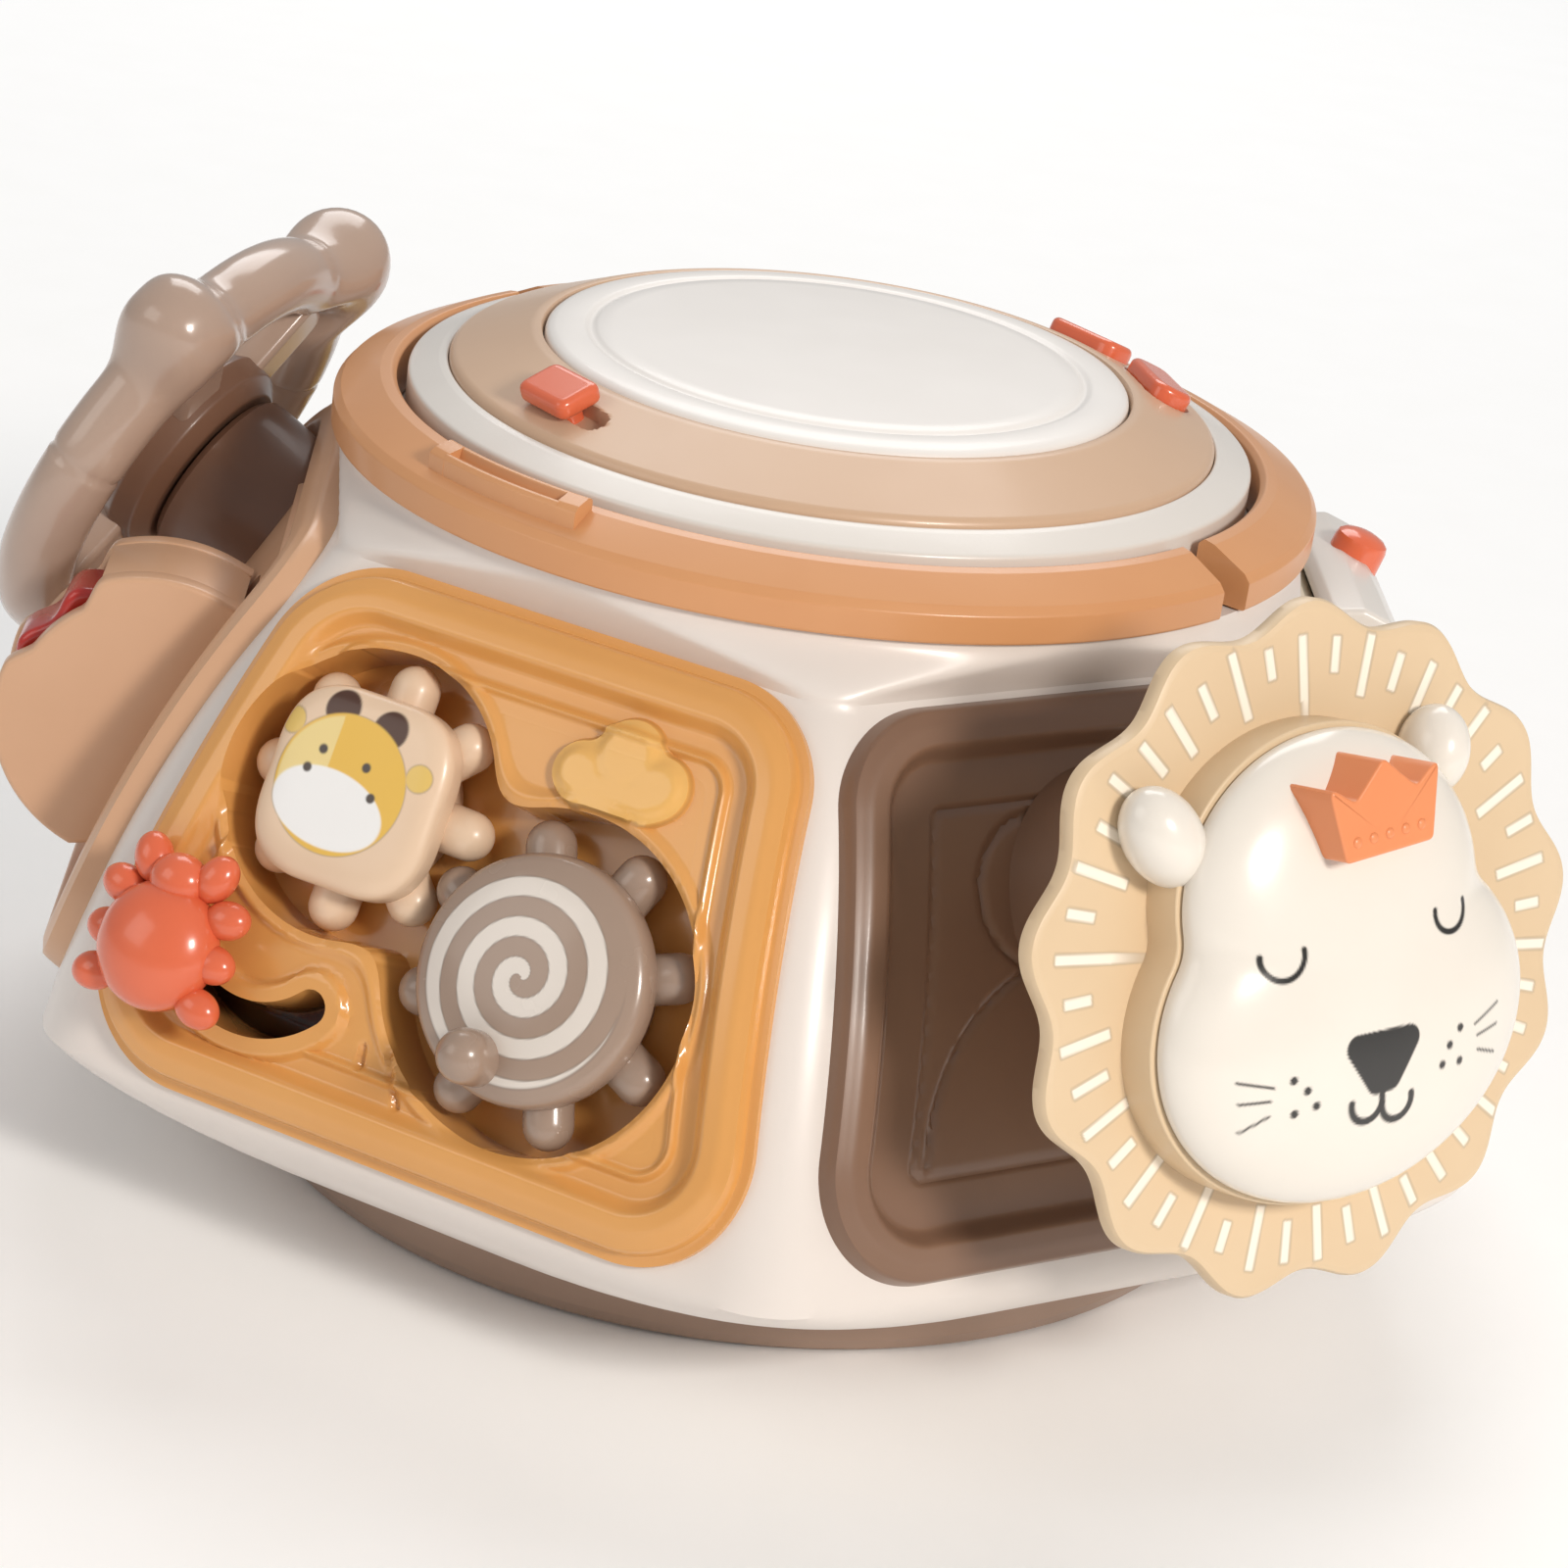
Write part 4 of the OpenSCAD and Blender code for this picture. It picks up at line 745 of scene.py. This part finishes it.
groove = [(43.2, 149.3), (43.6, 149.0), (44.0, 148.95), (44.4, 149.0), (44.8, 149.35), (45.6, 149.5)]
brim = [(48, 149.3), (50, 149.0), (51.2, 148.6), (51.8, 148.0), (52, 147.2)]
skirt = [(52, 144.1), (53.4, 144.1), (53.4, 141.6), (49, 141.6), (49, 146.5)]
piece("drum_head", [lathe([(0, 146.5), *skin, *groove, *brim, *skirt], steps=240)], "drum", ["drum_pad"], drum)

switch_ax = deck_axes(SWITCH_TURN)
piece("slide_switch", [extrude(rounded(rect(9, 13), 2.2), 0.4, 4.1, 1.3, switch_ax),
                       extrude(rounded(rect(4.2, 7), 1.8), -4.6, 1.0, 0.2, switch_ax)],
      "switch", ["power_switch"], coral)
for name, turn in (("song", SONG_TURN), ("volume", VOLUME_TURN)):
    button_ax = deck_axes(turn)
    piece(name + "_key", [extrude(rounded(rect(8, 18), 3.9), -4.6, 2.6, 1.2, button_ax),
                          extrude(rounded(rect(8.8, 21), 4.2), -5.4, -3.6, 0.3, moved(button_ax, 0.4, 0, 0))],
          name, [name + "_button"], coral)


# Peg gears and slider
MESH = math.degrees(math.atan2(SNAIL[1] - COW[1], SNAIL[0] - COW[0]))


def pegs(ax, reach, start):
    """Round-ended pegs about the gear's middle."""
    run = np.linspace(reach - PEG_LENGTH, reach, 5)
    ways = ([*polar(1.0, start + 360 / PEG_COUNT * i), 0] for i in range(PEG_COUNT))
    return [tube(np.outer(run, way) + [0, 0, PEG_LEVEL], PEG_RADIUS, ax, 28) for way in ways]


def snail():
    """Domed disc on a fine polar grid; the print is a spiral: radius over winding less the turn, taken modulo 1."""
    flank = np.array([(0, -9.2), (17, -9.2), (17, -2.2), (19.6, -1.7), (20.4, -1.2), (20.7, -0.4), (20.7, 1.6),
                      (20.4, 2.9), (19.8, 3.7)])
    dome_radius, columns, winding = 19.2, 360, 6.6
    dome_r = np.linspace(dome_radius, 0, 70)
    profile = np.concatenate([flank, np.stack([dome_r, 6.6 - 2.5 * (dome_r / dome_radius) ** 3], -1)])
    part = lathe(profile, snail_ax, columns, closed=False)
    r = profile[:, 0]
    t = np.repeat(np.arange(columns) / columns, len(r)).reshape(columns, -1)
    share = (r[None] / winding - t + 0.35) % 1.0
    band = ramp(share, 0.0, 0.06) * (1 - ramp(share, 0.5, 0.56))
    band = band * (np.arange(len(r))[None] >= len(flank)) * (1 - ramp(r[None], 17.4, 18.0))
    ink = np.zeros((*band.shape, 4))
    stamp(ink, band, "#DCD3CA")
    return part, ink.reshape(-1, 4)


snail_ax, cow_ax = moved(gear, *SNAIL, 0), moved(gear, *COW, 0)
disc_part, spiral = snail()
snail_knob = tube([(-3.6, -14.7, z) for z in (3.0, 6.0, 9.0)], 4.6, snail_ax, 32)
piece("snail_wheel", [disc_part, snail_knob, *pegs(snail_ax, 22.7, MESH + 180)],
      "snail", ["snail_gear"], greige, {0: spiral})


def cow():
    """Rounded square lofted to a soft cushion; the print is a head, a muzzle, a blaze, two ears and four dots."""
    outline = even(rounded(rect(33, 33), 12.0, 40), 300)
    k = np.linspace(1.0, 0.0, 90)
    rows = np.concatenate([[[0, -1.6], [0.94, -1.6], [0.98, -1.3], [1.0, -0.5], [1.0, 2.2]],
                           np.stack([k, 2.4 + 3.0 * np.sqrt(1 - k ** 8)], -1)])
    part = loft(outline, rows, cow_ax)
    xy = outline[None] * rows[:, None, :1]
    x, y = xy[..., 0] + 1.6, xy[..., 1] - 0.3
    tilt = math.radians(6)
    x, y = math.cos(tilt) * x - math.sin(tilt) * y, math.sin(tilt) * x + math.cos(tilt) * y
    top = (np.arange(len(rows)) > 8)[:, None]
    ink = np.zeros((*x.shape, 4))
    head = np.hypot(x / 12.4, y / 11.8) - 1
    blaze = np.maximum(head + 0.04, capsule_line(x, y, (-9, 9), (-8, -2)) / 7.0 - 0.72)
    muzzle = np.hypot((x + 0.4) / 10.9, (y + 4.4) / 6.4) - 1
    for ear in ((-5.2, 11.6), (4.6, 11.6)):
        stamp(ink, top * ramp(-disc(x, y, ear, 3.3), -0.2, 0.3), "#4A2C1F")
    for ear in ((-13.0, 6.5), (13.0, 6.5)):
        stamp(ink, top * ramp(-disc(x, y, ear, 2.4), -0.2, 0.3), "#E0BE6A")
    for edge, soft, code in ((head, 0.02, "#E3B649"), (blaze, 0.02, "#E8D08C"), (muzzle, 0.03, "#EEEDEC")):
        stamp(ink, top * ramp(-edge, -soft, soft), code)
    for dot in ((-5.4, 4.2), (3.4, 4.4), (-6.8, 0.4), (6.4, 0.2)):
        stamp(ink, top * ramp(-disc(x, y, dot, 0.85), -0.2, 0.25), "#453A34")
    return part, ink.reshape(-1, 4)


cow_part, cow_ink = cow()
piece("cow_wheel", [cow_part, pin(14, -9.2, -1.0, cow_ax, 96), *pegs(cow_ax, 19.0, MESH + 180 / PEG_COUNT)],
      "cow", ["cow_gear"], pink, {0: cow_ink})

beetle_ax = moved(gear, *polar(ARC_RADIUS, KNOB_START, ARC), 0)
rise = np.radians(np.arange(5, 91, 5))
back = [(0, 5.2), (9.4, 5.2), (10.4, 5.7), (11, 7.0), *zip(11 * np.cos(rise), 7.6 + 7.8 * np.sin(rise))]
beetle_head = ball((0, 11.2, 8.4), (5.2, 4.6, 4.2), beetle_ax)
legs = [ball((s * 10.4, y, 7.0), (4.2, 3.3, 2.9), beetle_ax, 12 * s * y / 7.6)
        for s in (-1, 1) for y in (-7.6, 0, 7.6)]
claws = [ball((s * 6.4, 13.4, 7.6), (3.4, 4.4, 3.0), beetle_ax, -24 * s) for s in (-1, 1)]
piece("beetle_knob", [lathe(back, beetle_ax, 96, closed=False), beetle_head, *legs, *claws,
                      pin(2.3, -7, 6, beetle_ax, 48), pin(4.2, -8.4, -6.4, beetle_ax, 48)],
      "beetle", ["beetle_slider"], coral)


# Lion
def head_outline():
    """Cheeks and brow as two ellipses: along each ray from the middle, the further way out, blended."""
    t = 2 * np.pi * np.arange(480) / 480
    c, d = np.cos(t), np.sin(t)
    exits = []
    for x, y, a, b in (CHEEKS, BROW):
        k = c * c / (a * a) + d * d / (b * b)
        m = x * c / (a * a) + y * d / (b * b)
        exits.append((m + np.sqrt(m * m - k * (x * x / (a * a) + y * y / (b * b) - 1))) / k)
    r = -smooth_min(-exits[0], -exits[1], HEAD_BLEND)
    return np.stack([r * c + HEAD_SHIFT, r * d], -1)


def lion_mane_part():
    """Waved disc: a radius plus a cosine wave round it; the print is a ring of rays, long and short by turns."""
    turn = 360 * np.arange(780) / 780
    r = MANE_RADIUS + MANE_WAVE * np.cos(np.radians(MANE_WAVES * turn))
    k = np.concatenate([np.linspace(0.975, 0.72, 44), [0.5, 0.25, 0.0]])
    rows = np.concatenate([[[0, -4], [0.97, -4], [0.99, -3.7], [1.0, -3.0], [1.0, -1.0], [0.992, -0.3]],
                           np.stack([k, np.zeros(len(k))], -1)])
    part = loft(polar(r, turn), rows, LION)
    radius = rows[:, :1] * r[None]
    count = turn[None] * MANE_RAYS / 360
    number = np.floor(count)
    across = np.abs(count - number - 0.5) * radius * 2 * np.pi / MANE_RAYS
    low = np.where(number % 2 == 0, 39.8, 43.0) + 0.8 * np.sin(number * 2.4)
    high = np.where(number % 2 == 0, 50.2, 49.0) + 0.5 * np.sin(number * 1.7)
    ray_half = 0.95
    ray = ramp(ray_half - across, -0.25, 0.3) * ramp(radius - low, -0.3, 0.3) * ramp(high - radius, -0.3, 0.3)
    ink = np.zeros((*ray.shape, 4))
    stamp(ink, ray * (np.arange(len(rows)) > 5)[:, None], "#F4EADA")
    return part, ink.reshape(-1, 4)


def lion_head_part():
    """Pear lofted to a dome, height by the 0.55 power of one less the 2.8 power; the face is printed about x = -4."""
    outline = head_outline()
    k = np.sin(np.linspace(math.pi / 2, 0, 150))
    rows = np.concatenate([[[0, 7.2], [0.96, 7.2], [0.975, 7.4], [0.98, 8.0]],
                           np.stack([0.98 * k, 8.65 + 11 * (1 - k ** 2.8) ** 0.55], -1)])
    part = loft(outline, rows, LION)
    xy = outline[None] * rows[:, None, :1]
    x, y = xy[..., 0] + 4.0, xy[..., 1]
    top = (np.arange(len(rows)) > 5)[:, None]
    whiskers = (((20.0, -12.4), (25.8, -10.4)), ((20.6, -14.4), (25.6, -13.9)), ((20.8, -16.8), (25.4, -18.6)))
    freckles = ((16.6, -12.0), (14.2, -14.2), (12.6, -17.0), (16.5, -17.4))
    eye_line, mouth_line, whisker_line, freckle = 0.5, 0.65, 0.24, 0.72
    line = capsule_line(x, y, (0, -17.0), (0, -19.8)) - 0.55
    for s in (-1, 1):
        line = np.minimum(line, arc_line(x, y, (16.3 * s, 7.0), 3.5, 170, 200) - eye_line)
        line = np.minimum(line, arc_line(x, y, (3.0 * s, -19.6 - 0.6 * s), 3.0, 170, 200) - mouth_line)
        for a, b in whiskers:
            line = np.minimum(line, capsule_line(x, y, (s * a[0], a[1]), (s * b[0], b[1])) - whisker_line)
        for c in freckles:
            line = np.minimum(line, disc(x, y, (s * c[0], c[1]), freckle))
    nose = -polygon_depth(x, y, [(-4.6, -9.9), (5.6, -10.7), (1.7, -16.0), (-0.9, -16.0)]) - 2.2
    ink = np.zeros((*x.shape, 4))
    stamp(ink, top * ramp(-np.minimum(line, nose), -0.15, 0.2), "#23211F")
    return part, ink.reshape(-1, 4)


mane_part, mane_ink = lion_mane_part()
head_part, head_ink = lion_head_part()
piece("mane_plate", [mane_part, extrude(head_outline(), -1.0, 7.0, 0.4, LION)],
      "lion", ["lion_mane"], mane, {0: mane_ink})
piece("lion_head", [head_part], "lion", ["lion_face"], ivory, {0: head_ink}, 50)
piece("lion_ear_pair", [ball((x, y, 4.4), (r, 1.4 * r, 6.4), LION, -24 * x / 29)
                       for x, y, r in ((-30.5, 26.0, 6.1), (24.2, 27.5, 5.2))],
      "lion", ["lion_ears"], ivory, {})
points = np.array([(-8.2, 19.5), (9.2, 19.5), (11.6, 32), (6.6, 28.4), (0.5, 34), (-5.6, 28.4), (-10.6, 32)])
points += [-3.0, 0.5]
crown_part = extrude(rounded(points, 1.2, 5), 10.7, 23.2, 0.4, LION, (-2.5, 22.0))
crown_dots = [ball((-2.5 + 3.2 * i, 22.9, 23.1), (0.9, 0.9, 0.5), LION, 0, 20) for i in range(-2, 3)]
piece("crown_block", [crown_part, *crown_dots], "lion", ["lion_crown"], crown)


# Steering wheel and click wheel
def eared_rim():
    """Torus whose tube swells and moves out at two round ears, each a bump of angle, with two seam grooves."""
    t, f = np.arange(0, 360, 1.2)[:, None], np.radians(np.arange(0, 360, 9))[None]
    off = (t - 90 + 180) % 360 - 180
    bump = np.exp(-(np.abs(np.abs(off) - EAR_TURN) / EAR_SPREAD) ** 3)
    tube_radius = RIM_TUBE + EAR_SWELL * bump - 0.45 * bead(np.abs(off), SEAM_TURN, 1.3)
    r = RIM_MIDDLE + EAR_OUT * bump + tube_radius * np.cos(f)
    c = np.radians(t)
    pts = np.stack([r * np.cos(c), r * np.sin(c), tube_radius * np.sin(f)], -1)
    return place(WHEEL, pts.reshape(-1, 3)), [quads(len(t), f.size, True, True)]


spoke = rounded([(10, -5.5), (36, -5.5), (36, 5.5), (10, 5.5)], 3.5)
spokes = [extrude(spoke, -5.0, 1.2, 1.4, turned(WHEEL, 90 + t)) for t in (36, -36, 144, -144)]
hub = [(4.1, -9), (17, -9), (20, -6.5), (20.6, -2), (19, 1), (12, 1), (12, -2.2), (4.1, -2.2)]
boot = [(0, -52), (15.4, -52), (16.4, -30), (17.2, -14), (17, -11), (16, -9.8), (3.8, -9.8), (3.8, -3.6), (0, -3.6)]
# The column boot is in the brown that holds painted shade
piece("column_boot", [lathe(boot, WHEEL, 96, closed=False)], "housing", ["wheel_column"], hub_brown_painted_shade)
piece("steering_wheel", [eared_rim(), *spokes], "wheel", ["wheel_rim"], wheel_plastic)
cap = [(8.4, 1.2), (17.2, 1.2), (17.8, 2.0), (17.6, 3.4), (16.8, 5.0), (15.4, 6.4), (13.5, 7.4), (11, 8.0),
       (8.8, 8.2), (8.4, 7.8)]
# The hub cover is in the brown that holds painted shade
piece("hub_cover", [lathe(cap, WHEEL, 96), lathe(rounded(hub, 1.2, 5), WHEEL, 96)], "wheel", ["wheel_cap"], hub_brown_painted_shade)
horn = [(0, -0.6), (10.8, -0.6), (10.8, 0.8), (8, 0.8), (8, 8.4), (7.7, 9.4), (6.8, 10.2), (5.2, 10.8), (2.6, 11.1),
        (0, 11.2)]
piece("horn", [lathe(horn, WHEEL, 72, closed=False)], "horn", ["horn_button"], coral)
turn = 360 * np.arange(192) / 192
lobes = polar(CLICK_RADIUS + CLICK_WAVE * np.cos(np.radians(CLICK_LOBES * turn)), turn, CONSOLE)
piece("click_disc", [extrude(lobes, 16.5, 28.5, 1.4, along_x(wheel_face))], "click", ["click_wheel"], red)

# Piano
key_line = [(-33, -2.6), (19, -2.6), (22.6, -1.0), (22.6, 3.6), (20.6, 5.6), (17, 6.4), (-28, 7.6), (-33, 6.8)]
keys = (("key_coral", coral), ("key_amber", honey), ("key_cream", white), ("key_taupe", taupe))
for i, (node, material) in enumerate(keys):
    low = (i - 1.5) * KEY_PITCH - KEY_WIDTH / 2
    piece(node + "_cap", [extrude(rounded(key_line, 1.6, 4), low, low + KEY_WIDTH, 1.2, along_x(piano))],
          "key_%d" % (i + 1), [node], material)
hood = [(25, -0.1), (35.4, -1.6), (35.4, 1.9), (45.5, 0.2), (46, 3), (44.4, 8), (40.6, 11.5), (35, 12.8), (30, 12),
        (26.5, 9), (25, 5)]
piece("hood_cover", [extrude(rounded(hood, 2.2, 4), -HOOD_HALF, HOOD_HALF, 1.2, along_x(piano), (34, 5))],
      "housing", ["key_hood"], white)
hood_ax = axes(SIDES["piano"], LEAN + HOOD_PUSH_LEAN, moved(piano, 8, 36.4, 5.6)[0])
push = [(0, 0.7), (5, 0.7), (5, 9.2), (4.7, 10.2), (3.8, 10.9), (2.2, 11.4), (0, 11.6)]
piece("hood_push", [lathe(push, hood_ax, 48, closed=False)], "hood_press", ["hood_button"], coral)

# Clock hands and rollers
hands = (("hour", coral, 30, 3.0, 18, 2.0), ("minute", brown, 90, 5.8, 26, 1.6))
for name, material, turn, low, length, half in hands:
    shape = [*polar(6, np.linspace(70, 290, 24)), (length - 8, -half), (length - 7, -half - 2.5), (length, 0),
             (length - 7, half + 2.5), (length - 8, half)]
    piece(name + "_pointer", [extrude(shape, low, low + 2.4, 0.5, turned(clock, turn))],
          name, [name + "_hand"], material)
eight = polar(ROLLER_RADIUS, 90 - 45 * np.arange(8, 0, -1), (0.0, ROLLER_RISE))
for i, (name, material) in enumerate((("left", coral), ("middle", pale), ("right", honey))):
    low = ROLLER_START + ROLLER_PITCH * i
    block = extrude(rounded(eight, 1.6, 3), low, low + ROLLER_WIDTH, 1.2, along_x(rollers))
    piece("roller_" + name + "_block", [block],
          "roller_%d" % (i + 1), ["roller_" + name], material)

# Camera as fitted to the photo, in degrees and millimetres
CAMERA_TURN, CAMERA_RISE, CAMERA_ROLL = -93.91, 22.1, 7.96
CAMERA_DISTANCE, CAMERA_TARGET, CAMERA_LENS, SENSOR = 791.4, [0.91, 0, 66.4], 98.82, 36.0


def aimed(right, up, back, spot):
    """Matrix of an object at spot with its right, up and backward directions."""
    return Matrix([[*map(float, (right[k], up[k], back[k], spot[k]))] for k in range(3)] + [[0, 0, 0, 1]])


view = bpy.data.cameras.new("photo_view")
view.sensor_width, view.lens = SENSOR, CAMERA_LENS
camera = new_object("photo_view", view)
sight = turned(axes(CAMERA_TURN, CAMERA_RISE, CAMERA_TARGET), CAMERA_ROLL)
camera.matrix_world = aimed(*sight[1], moved(sight, 0, 0, CAMERA_DISTANCE)[0] * 0.001)
bpy.context.scene.camera = camera


# Studio
def soft_light(name, spot, target, size, watts, code):
    """Square area light aimed at a point."""
    data = bpy.data.lights.new(name, "AREA")
    data.size, data.energy, data.color = size, watts, linear(code)[:3]
    z = np.asarray(spot, float) - np.asarray(target, float)
    z /= np.linalg.norm(z)
    x = np.cross([0, 0, 1], z)
    x /= np.linalg.norm(x)
    new_object(name, data).matrix_world = aimed(x, np.cross(z, x), z, spot)


soft_light("key", (0.594, -1.028, 0.742), (0, 0, 0.08), 0.22, 11.0, "#FFF8F0")
soft_light("fill", (-1.1, -0.5, 0.7), (0, 0, 0.08), 0.7, 2.2, "#FFFAF4")
soft_light("back", (0.0, 1.3, 1.5), (0, 0.8, 0.0), 1.2, 16, "#FFFFFF")

FLOOR_HALF, WORLD_STRENGTH = 6.0, 0.4
floor_me = bpy.data.meshes.new("floor")
floor_me.from_pydata([(sx * FLOOR_HALF, sy * FLOOR_HALF, 0) for sx, sy in ((-1, -1), (1, -1), (1, 1), (-1, 1))], [],
                     [(0, 1, 2, 3)])
floor_me.materials.append(plastic("matt_paper", "#FFFFFF", "#FCFCFB", 0.9, 0.0))
floor = new_object("floor", floor_me)

world = bpy.data.worlds.new("studio")
world.use_nodes = True
sky = world.node_tree.nodes["Background"]
sky.inputs["Color"].default_value, sky.inputs["Strength"].default_value = linear("#FFFFFF"), WORLD_STRENGTH
bpy.context.scene.world = world
bpy.context.scene.view_settings.view_transform = "Standard"
